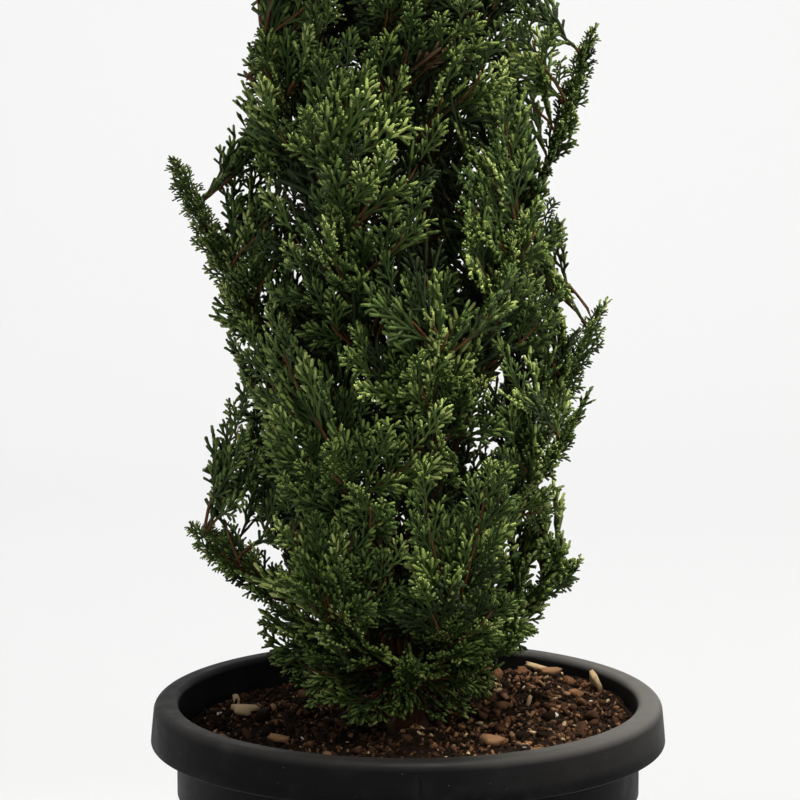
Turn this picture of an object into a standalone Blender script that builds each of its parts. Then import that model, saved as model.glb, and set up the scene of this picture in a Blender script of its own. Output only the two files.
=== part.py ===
"""Potted cypress: a narrow evergreen with scale leaves in a black moulded nursery pot.

Metres, +Z up, origin at the centre of the pot's flat underside. The photograph's view looks along +Y.
Every sub-part is an object of its own: the pot, the potting mix, the trunk, the boughs that leave it, and
the masses of foliage. Each bough ends in a mass. The slim upper limbs leave the trunk inside their masses,
and the last mass is the leader's.
"""

import math
import random

import bmesh
import bpy
import numpy as np
from mathutils import Matrix, Vector, noise

MM = 0.001
UP = Vector((0.0, 0.0, 1.0))
CLEAR = 0.3 * MM

# The pot, from the photograph: the rim is 514 pixels across and stands for 250 mm.
POT_HEIGHT = 200 * MM
RIM_RADIUS = 125 * MM
RIM_SHOULDER_RADIUS = 123.6 * MM
RIM_HEIGHT = 20.5 * MM
RIM_ROUND = 5 * MM
LIP_RADIUS = 111.4 * MM
LIP_ROUND = 3 * MM
COLLAR_RADIUS = 112.4 * MM
COLLAR_HEIGHT = 26 * MM
STEP_RADIUS = 107 * MM
STEP_HEIGHT = 10 * MM
BASE_RADIUS = 90 * MM
BASE_ROUND = 3 * MM
WALL = 2 * MM
FLOOR = 2.5 * MM
DRAIN_COUNT = 8
DRAIN_RADIUS = 6 * MM
DRAIN_CIRCLE = 74 * MM
DRAIN_SIDES = 12
TURN_STEPS = 32

# The potting mix fills the pot to this far below the rim.
SOIL_DROP = 15 * MM
SOIL_Z = POT_HEIGHT - SOIL_DROP
SOIL_LUMPS = 2.5 * MM
SOIL_LUMP_SIZE = 26 * MM
SOIL_RISE = 5 * MM
RISE_WAY = (0.8, 0.6)
SEAT_RADIUS = 17 * MM
SOIL_RINGS = (0.38, 0.55, 0.72, 0.88, 1.0)

# The trunk, from its flat cut on the mix to the foot of the leader.
TRUNK_FOOT = SOIL_Z + CLEAR
TRUNK_TOP = 0.792
TRUNK_RADIUS = 6.6 * MM
TRUNK_TOP_RADIUS = 1.7 * MM
FLARE_RADIUS = 11 * MM
FLARE_HEIGHT = 16 * MM
FLARE_FALL = 3.0
TRUNK_BOW = 10 * MM
BOW_LOWER = 0.7
TRUNK_SWAY = 3 * MM
TRUNK_LEAN = 1 * MM

# The crown: its reach from the pot's axis at each height above the mix.
CROWN_TOP = 0.905
CROWN_HEIGHTS = (0.0, 0.02, 0.04, 0.065, 0.09, 0.13, 0.25, 0.31, 0.37, 0.46, 0.55, 0.63, CROWN_TOP - SOIL_Z)
CROWN_REACHES = (0.056, 0.062, 0.069, 0.077, 0.085, 0.089, 0.089, 0.085, 0.081, 0.074, 0.062, 0.045, 0.018)
CROWN_CENTRE_X = -7 * MM
CROWN_SLACK = 6 * MM
LIMB_COUNT = 27
BOUGH_COUNT = 21
LOWEST_TIP = 0.085
HIGHEST_TIP = 0.655
RISE_SLOPE = 0.62
RISE_START = 4 * MM
LONGEST_RISE = 0.19
REACH_RISE = 1.9
LEAST_RISE = 30 * MM
LIMB_BENDS = ((0.42, 0.27), (0.82, 0.63))
LIMB_SAMPLES = 24
TIP_ROOM = 12 * MM
SHORTEST_SHARE = 0.80
LONGEST_SHARE = 0.92
OUTER_FROM = 6
FOOT_WEIGHT = 0.6
LEADER_BEND = 2 * MM
LIMB_SEED = 11
AZIMUTH_TRIES = 48

# Limbs that show in the photograph's outline or at the crown's foot: azimuth, tip's height above the mix, reach.
SHOWN = (
    (178, 0.290, 0.109),
    (-4, 0.352, 0.096),
    (6, 0.212, 0.102),
    (-22, 0.172, 0.098),
    (12, 0.080, 0.092),
    (186, 0.103, 0.097),
    (-62, 0.064, 0.060),
    (-120, 0.068, 0.060),
    (84, 0.066, 0.060),
)

# Where along its limb a bough hands over to its mass, and how thick the wood is.
BOUGH_END = 0.34
BOUGH_RADIUS = 2.7 * MM
BOUGH_TOP_RADIUS = 1.5 * MM
BOUGH_END_SHARE = 0.62
STEM_END = 0.82
STEM_TIP_RADIUS = 0.5 * MM
STEM_INSET = 0.94
WOOD_RINGS = 4

# The foliage of a mass: twigs off its stem, a toothed spray on each twig, and a slim core.
TWIGS = 10
TWIG_TRIES = 3
TWIG_FROM = 0.06
TWIG_TO = 0.84
TWIG_LENGTH = 22 * MM
TWIG_SPREAD = math.radians(48)
TWIG_RADIUS = 0.8 * MM
TWIG_TAPER = 0.7
TWIG_CLOSING = 0.5
TWIG_SHORTENING = 0.7
UNEVEN = (0.85, 1.15)
SPRAY_LENGTH = 74 * MM
SPRAY_WIDTH = 0.66
SPRAY_THICK = 0.9 * MM
SPRAY_SINK = 3 * MM
LOW_SHOOT = (0.50, 0.62)
HIGH_SHOOT = (0.70, 0.82)
ROOT_SHARE = 0.2
SPRAY_TILT = 0.7
SPRAY_TRIES = 6
TURN_LEAST = math.radians(10)
TURN_MOST = math.radians(125)
SHRINKS = (1.0, 0.88, 0.77, 0.68, 0.60, 0.52)
CORE_RADIUS = 11 * MM
CORE_FROM = 0.02
CORE_TO = 0.86
CORE_MARGIN = 2 * MM
CORE_SIDES = 5
CORE_RINGS = 5
SPACE_MARGIN = 1.2 * MM
LIMB_MARGIN = 0.9 * MM
SOIL_MARGIN = 3 * MM


def clear_scene():
    for old in list(bpy.data.objects):
        bpy.data.objects.remove(old, do_unlink=True)


def new_collection(name):
    made = bpy.data.collections.new(name)
    bpy.context.scene.collection.children.link(made)
    return made


def new_material(name, colour, roughness, metallic=0.0):
    made = bpy.data.materials.new(name)
    made.use_nodes = True
    shader = made.node_tree.nodes["Principled BSDF"]
    shader.inputs["Base Color"].default_value = (*colour, 1.0)
    shader.inputs["Roughness"].default_value = roughness
    shader.inputs["Metallic"].default_value = metallic
    made.diffuse_color = (*colour, 1.0)
    return made


def new_object(name, mesh, collection, material=None):
    made = bpy.data.objects.new(name, mesh)
    collection.objects.link(made)
    if material:
        mesh.materials.append(material)
    return made


def evaluated_mesh(source):
    """The object's mesh with its modifiers applied, in world space."""
    bpy.context.view_layer.update()
    graph = bpy.context.evaluated_depsgraph_get()
    mesh = bpy.data.meshes.new_from_object(source.evaluated_get(graph))
    mesh.transform(source.matrix_world)
    return mesh


def arc(centre_r, centre_z, radius, start, end, steps):
    """Points of an arc in the turned profile's plane, with angles in degrees from +r towards +z."""
    angles = [math.radians(start + (end - start) * i / steps) for i in range(steps + 1)]
    return [(centre_r + radius * math.cos(a), centre_z + radius * math.sin(a)) for a in angles]


def turned(name, profile, collection, material):
    """A closed solid turned about Z from a profile that runs down its outer side."""
    mesh = bpy.data.meshes.new(name)
    points = [(r, 0.0, z) for r, z in profile]
    edges = [(i, i + 1) for i in range(len(points) - 1)]
    mesh.from_pydata(points, edges, [])
    made = new_object(name, mesh, collection, material)
    screw = made.modifiers.new("turn", "SCREW")
    screw.steps = screw.render_steps = TURN_STEPS
    screw.use_merge_vertices = True
    screw.merge_threshold = 0.00005
    return made


def pot_outside():
    """The pot's outer side, from the middle of the rim's top down to the centre of the underside."""
    skirt_foot = POT_HEIGHT - RIM_HEIGHT
    collar_foot = skirt_foot - COLLAR_HEIGHT
    step_foot = collar_foot - STEP_HEIGHT
    shoulder = RIM_SHOULDER_RADIUS - RIM_ROUND
    return [
        *arc(shoulder, POT_HEIGHT - RIM_ROUND, RIM_ROUND, 90, 5, 4),
        (RIM_RADIUS, skirt_foot),
        (RIM_RADIUS - WALL, skirt_foot),
        *arc(shoulder, POT_HEIGHT - RIM_ROUND, RIM_ROUND - WALL, 5, 90, 3),
        (COLLAR_RADIUS + LIP_ROUND, POT_HEIGHT - WALL),
        (COLLAR_RADIUS, POT_HEIGHT - WALL - LIP_ROUND),
        (COLLAR_RADIUS, collar_foot),
        (STEP_RADIUS, step_foot),
        (BASE_RADIUS, BASE_ROUND),
        (BASE_RADIUS - BASE_ROUND, 0.0),
        (0.0, 0.0),
    ]


def pot_inside(offset=0.0):
    """The pot's inner side from the floor up to the lip, moved off the wall by offset."""
    skirt_foot = POT_HEIGHT - RIM_HEIGHT
    collar_foot = skirt_foot - COLLAR_HEIGHT
    step_foot = collar_foot - STEP_HEIGHT
    inset = WALL + offset
    return [
        (BASE_RADIUS - BASE_ROUND - inset, FLOOR + offset),
        (BASE_RADIUS - inset, FLOOR + BASE_ROUND + offset),
        (STEP_RADIUS - inset, step_foot),
        (COLLAR_RADIUS - inset, collar_foot),
    ]


def make_pot(collection, material):
    lip = arc(LIP_RADIUS + LIP_ROUND, POT_HEIGHT - LIP_ROUND, LIP_ROUND, 180, 90, 3)
    profile = [*pot_outside(), (0.0, FLOOR), *pot_inside(), *lip]
    profile.append(profile[0])
    return turned("pot", profile, collection, material)


def drain_cutters(collection):
    """Upright rods that cut the drain holes through the pot's floor."""
    for i in range(DRAIN_COUNT):
        mesh = bpy.data.meshes.new(f"drain_cutter_{i}")
        shape = bmesh.new()
        bmesh.ops.create_cone(
            shape, cap_ends=True, segments=DRAIN_SIDES, radius1=DRAIN_RADIUS, radius2=DRAIN_RADIUS, depth=4 * FLOOR
        )
        shape.to_mesh(mesh)
        shape.free()
        cutter = new_object(mesh.name, mesh, collection)
        angle = math.tau * (i + 0.5) / DRAIN_COUNT
        cutter.location = (DRAIN_CIRCLE * math.cos(angle), DRAIN_CIRCLE * math.sin(angle), 0.0)
        cutter.hide_render = True
        cutter.display_type = "WIRE"


def drill_drains(pot, cutters):
    cut = pot.modifiers.new("drains", "BOOLEAN")
    cut.operation = "DIFFERENCE"
    cut.operand_type = "COLLECTION"
    cut.collection = cutters


def soil_height(x, y):
    """The mix's surface: flat under the trunk, rising to the right and back, and lumpy."""
    radius = math.hypot(x, y)
    away = min(1.0, max(0.0, (radius - SEAT_RADIUS) / SEAT_RADIUS))
    lumps = noise.noise(Vector((x, y, 0.37)) / SOIL_LUMP_SIZE)
    slope = (RISE_WAY[0] * x + RISE_WAY[1] * y) / COLLAR_RADIUS
    return SOIL_Z + away * (SOIL_LUMPS * lumps + SOIL_RISE * slope)


def make_soil(collection, material):
    edge = COLLAR_RADIUS - WALL - CLEAR
    top = [(r, SOIL_Z) for r in (0.0, SEAT_RADIUS, *[edge * share for share in SOIL_RINGS])]
    profile = [*top, *reversed(pot_inside(CLEAR)), (0.0, FLOOR + CLEAR)]
    rough = turned("soil_shape", profile, collection, material)
    mesh = evaluated_mesh(rough)
    bpy.data.objects.remove(rough)
    mesh.name = "potting_mix"
    for vertex in mesh.vertices:
        if vertex.co.z > SOIL_Z - MM:
            vertex.co.z = soil_height(vertex.co.x, vertex.co.y)
    return new_object("potting_mix", mesh, collection)


def trunk_centre(z):
    """The trunk's axis at height z: it leans a little and bows to the right."""
    share = max(0.0, z - SOIL_Z) / (CROWN_TOP - SOIL_Z)
    bow = TRUNK_BOW * math.sin(math.pi * share**BOW_LOWER) ** 2
    return Vector((bow + TRUNK_LEAN * share, TRUNK_SWAY * math.sin(math.tau * share) * share, z))


def trunk_radius(z):
    share = min(1.0, max(0.0, (z - TRUNK_FOOT) / (TRUNK_TOP - TRUNK_FOOT)))
    taper = TRUNK_RADIUS + (TRUNK_TOP_RADIUS - TRUNK_RADIUS) * share
    flare = (FLARE_RADIUS - TRUNK_RADIUS) * math.exp(-FLARE_FALL * (z - TRUNK_FOOT) / FLARE_HEIGHT)
    return taper + flare


def crown_reach(height):
    """How far the crown's tips reach from the axis, at a height above the mix."""
    return float(np.interp(height, CROWN_HEIGHTS, CROWN_REACHES))


class Limb:
    """One limb, from the trunk's axis to its last tip. Its first stretch is a bough, and the rest is a mass."""

    def __init__(self, azimuth, tip_height, reach):
        self.name = ""
        self.start = BOUGH_END
        self.reach = reach
        rise = min(LONGEST_RISE, RISE_SLOPE * tip_height + RISE_START)
        rise = min(rise, REACH_RISE * reach + LEAST_RISE)
        out = Vector((math.cos(azimuth), math.sin(azimuth), 0.0))
        self.out = out
        foot = trunk_centre(SOIL_Z + tip_height - rise)
        tip = Vector((CROWN_CENTRE_X, 0.0, SOIL_Z + tip_height)) + reach * out
        span = tip - foot - Vector((0.0, 0.0, rise))
        bends = [foot + across * span + up * rise * UP for across, up in LIMB_BENDS]
        self.corners = (foot, *bends, tip)
        share = min(1.0, tip_height / HIGHEST_TIP)
        self.radius = BOUGH_RADIUS + (BOUGH_TOP_RADIUS - BOUGH_RADIUS) * share
        self.take_samples()

    def take_samples(self):
        self.samples = [self.point(i / LIMB_SAMPLES) for i in range(LIMB_SAMPLES + 1)]

    def point(self, t):
        a, b, c, d = self.corners
        s = 1 - t
        return s * s * s * a + 3 * s * s * t * b + 3 * s * t * t * c + t * t * t * d

    def direction(self, t):
        step = 0.01
        return (self.point(min(1.0, t + step)) - self.point(max(0.0, t - step))).normalized()

    def thickness(self, t):
        """The wood's radius at t, from the bough's foot to the stem's tip."""
        if t <= BOUGH_END:
            return self.radius * (1 + (BOUGH_END_SHARE - 1) * t / BOUGH_END)
        along = min(1.0, (t - BOUGH_END) / (STEM_END - BOUGH_END))
        start = self.radius * BOUGH_END_SHARE
        return start + (STEM_TIP_RADIUS - start) * along


def leader():
    """The leader is the trunk's own line, carried on to the crown's top."""
    made = Limb(0.0, CROWN_TOP - SOIL_Z, 0.02)
    made.name = "leader"
    made.start = 0.0
    foot = trunk_centre(TRUNK_TOP)
    tip = Vector((trunk_centre(CROWN_TOP).x + TRUNK_LEAN, 0.0, CROWN_TOP))
    bend = Vector((-LEADER_BEND, LEADER_BEND, 0.0))
    made.corners = (foot, foot.lerp(tip, 1 / 3), foot.lerp(tip, 2 / 3) + bend, tip)
    made.radius = TRUNK_TOP_RADIUS
    made.take_samples()
    return made


def gap_between(one, other):
    """The least distance between two limbs' outer stretches, weighed so that feet may stand closer."""
    least = math.inf
    last = LIMB_SAMPLES - OUTER_FROM
    for i, p in enumerate(one.samples[OUTER_FROM:]):
        for j, q in enumerate(other.samples[OUTER_FROM:]):
            weight = FOOT_WEIGHT + (1 - FOOT_WEIGHT) * max(i, j) / last
            least = min(least, (p - q).length * weight)
    return least


def tip_heights():
    """Heights that give each limb an equal share of the crown's side."""
    heights = np.linspace(LOWEST_TIP, HIGHEST_TIP, 400)
    area = np.cumsum([crown_reach(h) + TIP_ROOM for h in heights])
    count = LIMB_COUNT - len(SHOWN)
    wanted = (np.arange(count) + 0.5) / count * area[-1]
    return [float(h) for h in np.interp(wanted, area, heights)]


def make_limbs():
    """The outstanding limbs, the leader, and the others, each turned to where it has most room."""
    rng = random.Random(LIMB_SEED)
    limbs = [leader()]
    for azimuth, height, reach in SHOWN:
        limbs.append(Limb(math.radians(azimuth), height, reach))
    for height in tip_heights():
        reach = crown_reach(height) * rng.uniform(SHORTEST_SHARE, LONGEST_SHARE)
        start = rng.uniform(0, math.tau)
        tries = [Limb(start + math.tau * i / AZIMUTH_TRIES, height, reach) for i in range(AZIMUTH_TRIES)]
        limbs.append(max(tries, key=lambda limb: min(gap_between(limb, other) for other in limbs)))
    top, sides = limbs[0], limbs[1:]
    sides.sort(key=lambda limb: limb.samples[-1].z)
    for number, limb in enumerate(sides, 1):
        limb.name = f"{number:02d}"
        if number > BOUGH_COUNT:
            limb.start = 0.0
    return [*sides, top]


def tube(name, points, radii, collection, material, resolution):
    """A tapered limb as a mesh: a curve with a round bevel and closed ends."""
    curve = bpy.data.curves.new(name, "CURVE")
    curve.dimensions = "3D"
    curve.bevel_depth = 1.0
    curve.bevel_resolution = resolution
    curve.use_fill_caps = True
    spline = curve.splines.new("POLY")
    spline.points.add(len(points) - 1)
    for knot, point, radius in zip(spline.points, points, radii):
        knot.co = (*point, 1.0)
        knot.radius = radius
    guide = new_object(name + "_curve", curve, collection)
    mesh = evaluated_mesh(guide)
    bpy.data.objects.remove(guide)
    bpy.data.curves.remove(curve)
    shape = bmesh.new()
    shape.from_mesh(mesh)
    bmesh.ops.remove_doubles(shape, verts=shape.verts, dist=0.00001)
    bmesh.ops.recalc_face_normals(shape, faces=shape.faces)
    shape.to_mesh(mesh)
    shape.free()
    mesh.name = name
    mesh.shade_smooth()
    return new_object(name, mesh, collection, material)


def trunk_solid(name, extra, collection, material):
    """The trunk, or with extra radius the shape that keeps the boughs clear of it."""
    heights = [TRUNK_FOOT + FLARE_HEIGHT * share for share in (0.0, 0.25, 0.6, 1.0)]
    heights += [float(h) for h in np.linspace(TRUNK_FOOT + 2.5 * FLARE_HEIGHT, TRUNK_TOP, 16)]
    points = [trunk_centre(z) for z in heights]
    made = tube(name, points, [trunk_radius(z) + extra for z in heights], collection, material, 3)
    for vertex in made.data.vertices:
        if vertex.co.z < TRUNK_FOOT + MM:
            vertex.co.z = TRUNK_FOOT
    return made


def cut_clear(limb, trunk_cutter):
    cut = limb.modifiers.new("clear_of_trunk", "BOOLEAN")
    cut.operation = "DIFFERENCE"
    cut.object = trunk_cutter
    cut.solver = "MANIFOLD"


def make_bough(limb, trunk_cutter, collection, material):
    """The bough from the trunk's bark, cut clear of it, to where its mass begins."""
    shares = [BOUGH_END * i / WOOD_RINGS for i in range(WOOD_RINGS + 1)]
    points = [limb.point(t) for t in shares]
    bough = tube(f"bough_{limb.name}", points, [limb.thickness(t) for t in shares], collection, material, 1)
    cut_clear(bough, trunk_cutter)
    return bough


class Space:
    """Where each mass may grow: nearer its own limb than any other, and clear of wood and mix."""

    def __init__(self, limbs):
        self.lines = {limb.name: self.fine(limb, max(limb.start, 0.1), 1.0, 60) for limb in limbs}
        self.others = {}
        for name in self.lines:
            self.others[name] = np.concatenate([line for other, line in self.lines.items() if other != name])
        self.reaches = {limb.name: limb.reach for limb in limbs}
        boughs = [limb for limb in limbs if limb.start > 0]
        self.wood = np.concatenate([self.fine(limb, 0.0, BOUGH_END, 40) for limb in boughs])
        shares = np.linspace(0.0, BOUGH_END, 40)
        self.wood_radii = np.concatenate([[limb.thickness(t) for t in shares] for limb in boughs])
        heights = np.linspace(TRUNK_FOOT, TRUNK_TOP, 200)
        self.trunk = np.array([trunk_centre(z) for z in heights])
        self.trunk_radii = np.array([trunk_radius(z) for z in heights])

    @staticmethod
    def fine(limb, start, end, count):
        return np.array([limb.point(start + (end - start) * i / (count - 1)) for i in range(count)])

    def allows(self, name, points, margin):
        """True if every point keeps to the space of the limb called name."""
        at = np.array(points)
        reach = np.interp(at[:, 2] - SOIL_Z, CROWN_HEIGHTS, CROWN_REACHES) + CROWN_SLACK
        reach = np.maximum(reach, self.reaches[name])
        if (np.hypot(at[:, 0] - CROWN_CENTRE_X, at[:, 1]) > reach).any() or at[:, 2].max() > CROWN_TOP:
            return False
        own = np.linalg.norm(at[:, None] - self.lines[name][None], axis=2).min(1)
        others = np.linalg.norm(at[:, None] - self.others[name][None], axis=2).min(1)
        if (others - own < 2 * margin).any():
            return False
        wood = (np.linalg.norm(at[:, None] - self.wood[None], axis=2) - self.wood_radii).min()
        trunk = (np.linalg.norm(at[:, None] - self.trunk[None], axis=2) - self.trunk_radii).min()
        if min(wood, trunk) < LIMB_MARGIN + margin:
            return False
        return all(p[2] > soil_height(p[0], p[1]) + SOIL_MARGIN for p in points)


def frame_along(direction, side):
    """A matrix whose X runs along direction and whose Y is as near to side as it can be."""
    x = direction.normalized()
    z = x.cross(side).normalized()
    y = z.cross(x)
    return Matrix((x, y, z)).transposed()


def spray_outline(length, rng):
    """A toothed blade's outline: the tip, with a side shoot lower down on each side of it."""
    half = SPRAY_WIDTH * length / 2
    low = rng.uniform(*LOW_SHOOT) * length
    high = rng.uniform(*HIGH_SHOOT) * length
    return [
        Vector((0.0, -0.10 * half, 0.0)),
        Vector((low, -half, 0.0)),
        Vector((1.02 * low, -0.38 * half, 0.0)),
        Vector((length, 0.0, 0.0)),
        Vector((0.94 * high, 0.30 * half, 0.0)),
        Vector((high, 0.90 * half, 0.0)),
        Vector((0.16 * length, 0.22 * half, 0.0)),
    ]


def outline_samples(outline):
    """Points spread over a blade, to test that it keeps to its space."""
    spread = list(outline)
    for a, b in zip(outline, [*outline[1:], outline[0]]):
        steps = max(1, int((b - a).length / (3 * MM)))
        spread += [a.lerp(b, i / steps) for i in range(1, steps)]
    return spread


def prism_mesh(name, root, end, root_radius, end_radius):
    """A straight three-sided twig."""
    shape = bmesh.new()
    span = end - root
    bmesh.ops.create_cone(
        shape, cap_ends=True, segments=3, radius1=root_radius, radius2=end_radius, depth=span.length
    )
    shape.transform(Matrix.Translation(root + span / 2) @ span.to_track_quat("Z", "Y").to_matrix().to_4x4())
    mesh = bpy.data.meshes.new(name)
    shape.to_mesh(mesh)
    shape.free()
    return mesh


def blade_mesh(name, outline, matrix):
    """The outline as a thin solid blade, set in place by matrix."""
    shape = bmesh.new()
    face = shape.faces.new([shape.verts.new(p) for p in outline])
    lifted = bmesh.ops.extrude_face_region(shape, geom=[face])
    top = [v for v in lifted["geom"] if isinstance(v, bmesh.types.BMVert)]
    bmesh.ops.translate(shape, verts=top, vec=(0, 0, SPRAY_THICK))
    bmesh.ops.translate(shape, verts=shape.verts, vec=(0, 0, -SPRAY_THICK / 2))
    bmesh.ops.recalc_face_normals(shape, faces=shape.faces)
    shape.transform(matrix)
    mesh = bpy.data.meshes.new(name)
    shape.to_mesh(mesh)
    shape.free()
    return mesh


class Mass:
    """One mass of foliage, grown on the outer stretch of its limb."""

    def __init__(self, limb, space, collection):
        self.limb = limb
        self.space = space
        self.loose = collection
        self.rng = random.Random(f"mass {limb.name}")
        self.count = 0

    def at(self, share):
        """The limb's own measure of a share of this mass's length."""
        return self.limb.start + (1.0 - self.limb.start) * share

    def keep(self, mesh):
        new_object(f"loose_{self.limb.name}_{self.count}", mesh, self.loose)
        self.count += 1

    def stem(self, collection, material):
        start = self.limb.start
        shares = [start + (STEM_END - start) * i / WOOD_RINGS for i in range(WOOD_RINGS + 1)]
        points = [self.limb.point(t) for t in shares]
        points[0] = points[0] + self.limb.direction(start) * CLEAR
        radii = [STEM_INSET * self.limb.thickness(t) for t in shares]
        return tube(f"stem_{self.limb.name}", points, radii, collection, material, 0)

    def core(self):
        """A lumpy spindle round the stem, which swells only where its space allows."""
        shape = bmesh.new()
        bmesh.ops.create_uvsphere(shape, u_segments=CORE_SIDES, v_segments=CORE_RINGS, radius=1.0)
        for vertex in shape.verts:
            x, y, z = vertex.co
            t = self.at(CORE_FROM + (CORE_TO - CORE_FROM) * (z + 1) / 2)
            centre = self.limb.point(t)
            around = math.hypot(x, y)
            if around < 0.01:
                vertex.co = centre
                continue
            way = frame_along(self.limb.direction(t), self.limb.out) @ Vector((0, x, y)).normalized()
            most = CORE_RADIUS * around * self.rng.uniform(0.8, 1.15)
            reaches = [most * (1 - i / 10) for i in range(9)]
            fits = [r for r in reaches if self.space.allows(self.limb.name, [centre + way * r], CORE_MARGIN)]
            vertex.co = centre + way * (fits[0] if fits else 0.1 * most)
        mesh = bpy.data.meshes.new("core")
        shape.to_mesh(mesh)
        shape.free()
        self.keep(mesh)

    def spray(self, root, direction, length):
        """Adds a toothed blade that faces outwards, at the largest size that keeps to the space."""
        outward = Vector((root.x - CROWN_CENTRE_X, root.y, 0.0)) + 0.01 * self.limb.out
        across = direction.cross(outward).normalized()
        for shrink in SHRINKS:
            for _ in range(SPRAY_TRIES):
                outline = spray_outline(length * shrink, self.rng)
                tilt = Matrix.Rotation(self.rng.uniform(-SPRAY_TILT, SPRAY_TILT), 3, direction)
                place = Matrix.Translation(root - direction * SPRAY_SINK)
                matrix = place @ frame_along(direction, tilt @ across).to_4x4()
                spread = [matrix @ p for p in outline_samples(outline)]
                outer = [p for p in spread if (p - root).length > ROOT_SHARE * shrink * length]
                if self.space.allows(self.limb.name, outer, SPACE_MARGIN):
                    self.keep(blade_mesh("blade", outline, matrix))
                    return True
        return False

    def twig(self, share, turn):
        """A side twig with a spray at its end, if there is room for both."""
        t = self.at(share)
        root = self.limb.point(t)
        along = self.limb.direction(t)
        frame = frame_along(along, self.limb.out)
        side = frame @ Vector((0, math.cos(turn), math.sin(turn)))
        spread = TWIG_SPREAD * (1.1 - TWIG_CLOSING * share) * self.rng.uniform(*UNEVEN)
        way = (along * math.cos(spread) + side * math.sin(spread)).normalized()
        length = TWIG_LENGTH * (1.15 - TWIG_SHORTENING * share) * self.rng.uniform(*UNEVEN)
        end = root + way * length
        path = [root.lerp(end, i / 6) for i in range(2, 7)]
        if not self.space.allows(self.limb.name, path, TWIG_RADIUS):
            return False
        if not self.spray(end, (way + 0.5 * along).normalized(), SPRAY_LENGTH * self.rng.uniform(*UNEVEN)):
            return False
        self.keep(prism_mesh("twig", root, end, TWIG_RADIUS, TWIG_TAPER * TWIG_RADIUS))
        return True

    def tip(self):
        """The last spray, which carries the stem on to the limb's tip."""
        end = self.limb.point(STEM_END)
        last = self.limb.point(1.0) - end
        self.spray(end, last.normalized(), last.length + SPRAY_SINK)

    def fused(self, trunk_cutter, collection, material):
        """The stem, core, twigs and sprays as one closed solid, cut clear of the trunk."""
        name = f"foliage_{self.limb.name}"
        stem = self.stem(collection, material)
        self.core()
        for i in range(TWIGS):
            share = TWIG_FROM + (TWIG_TO - TWIG_FROM) * i / (TWIGS - 1)
            turns = [self.rng.uniform(TURN_LEAST, TURN_MOST) * (-1) ** i for _ in range(TWIG_TRIES)]
            any(self.twig(share, turn) for turn in turns)
        self.tip()
        join = stem.modifiers.new("join", "BOOLEAN")
        join.operation = "UNION"
        join.operand_type = "COLLECTION"
        join.collection = self.loose
        join.solver = "MANIFOLD"
        if self.limb.start == 0 and self.limb.name != "leader":
            cut_clear(stem, trunk_cutter)
        mesh = evaluated_mesh(stem)
        for piece in list(self.loose.objects):
            bpy.data.objects.remove(piece)
        bpy.data.objects.remove(stem)
        keep_largest_shell(mesh)
        mesh.name = name
        return new_object(name, mesh, collection)


def keep_largest_shell(mesh):
    """Drops loose scraps and fills hollows that the joining sealed: only the outer skin stays."""
    shape = bmesh.new()
    shape.from_mesh(mesh)
    shells, seen = [], set()
    for start in shape.faces:
        if start in seen:
            continue
        shell, waiting = [], [start]
        seen.add(start)
        while waiting:
            face = waiting.pop()
            shell.append(face)
            for edge in face.edges:
                for near in edge.link_faces:
                    if near not in seen:
                        seen.add(near)
                        waiting.append(near)
        shells.append(shell)
    shells.sort(key=lambda shell: sum(face.calc_area() for face in shell))
    for shell in shells[:-1]:
        bmesh.ops.delete(shape, geom=shell, context="FACES")
    shape.to_mesh(mesh)
    shape.free()


def main():
    clear_scene()
    parts = new_collection("potted_cypress")
    cutters = new_collection("cutters")
    cutters.hide_render = True
    loose = new_collection("loose")

    plastic = new_material("black_polypropylene", (0.016, 0.017, 0.019), 0.45)
    mix = new_material("bark_and_peat_mix", (0.045, 0.024, 0.014), 0.95)
    bark = new_material("fibrous_bark", (0.105, 0.048, 0.026), 0.85)
    leaf = new_material("scale_leaf", (0.020, 0.056, 0.016), 0.5)

    drains = new_collection("drains")
    drains.hide_render = True
    pot = make_pot(parts, plastic)
    drain_cutters(drains)
    drill_drains(pot, drains)
    make_soil(parts, mix)

    limbs = make_limbs()
    space = Space(limbs)
    trunk_solid("trunk", 0.0, parts, bark)
    trunk_cutter = trunk_solid("trunk_cutter", CLEAR, cutters, bark)
    trunk_cutter.hide_render = True
    trunk_cutter.display_type = "WIRE"
    for limb in limbs:
        if limb.start > 0:
            make_bough(limb, trunk_cutter, parts, bark)
        Mass(limb, space, loose).fused(trunk_cutter, parts, leaf)
    bpy.data.collections.remove(loose)


main()
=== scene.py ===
"""Looks of the potted cypress: its pot, potting mix, bark, twigs and sprays of scale leaves.

Metres, +Z up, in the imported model's own frame. The limbs follow the same rule as the model's solids, and
carry finer twigs and sprays within about the same reach.
"""

import math
import random

import bmesh
import bpy
import numpy as np
from mathutils import Matrix, Vector, noise


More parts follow.
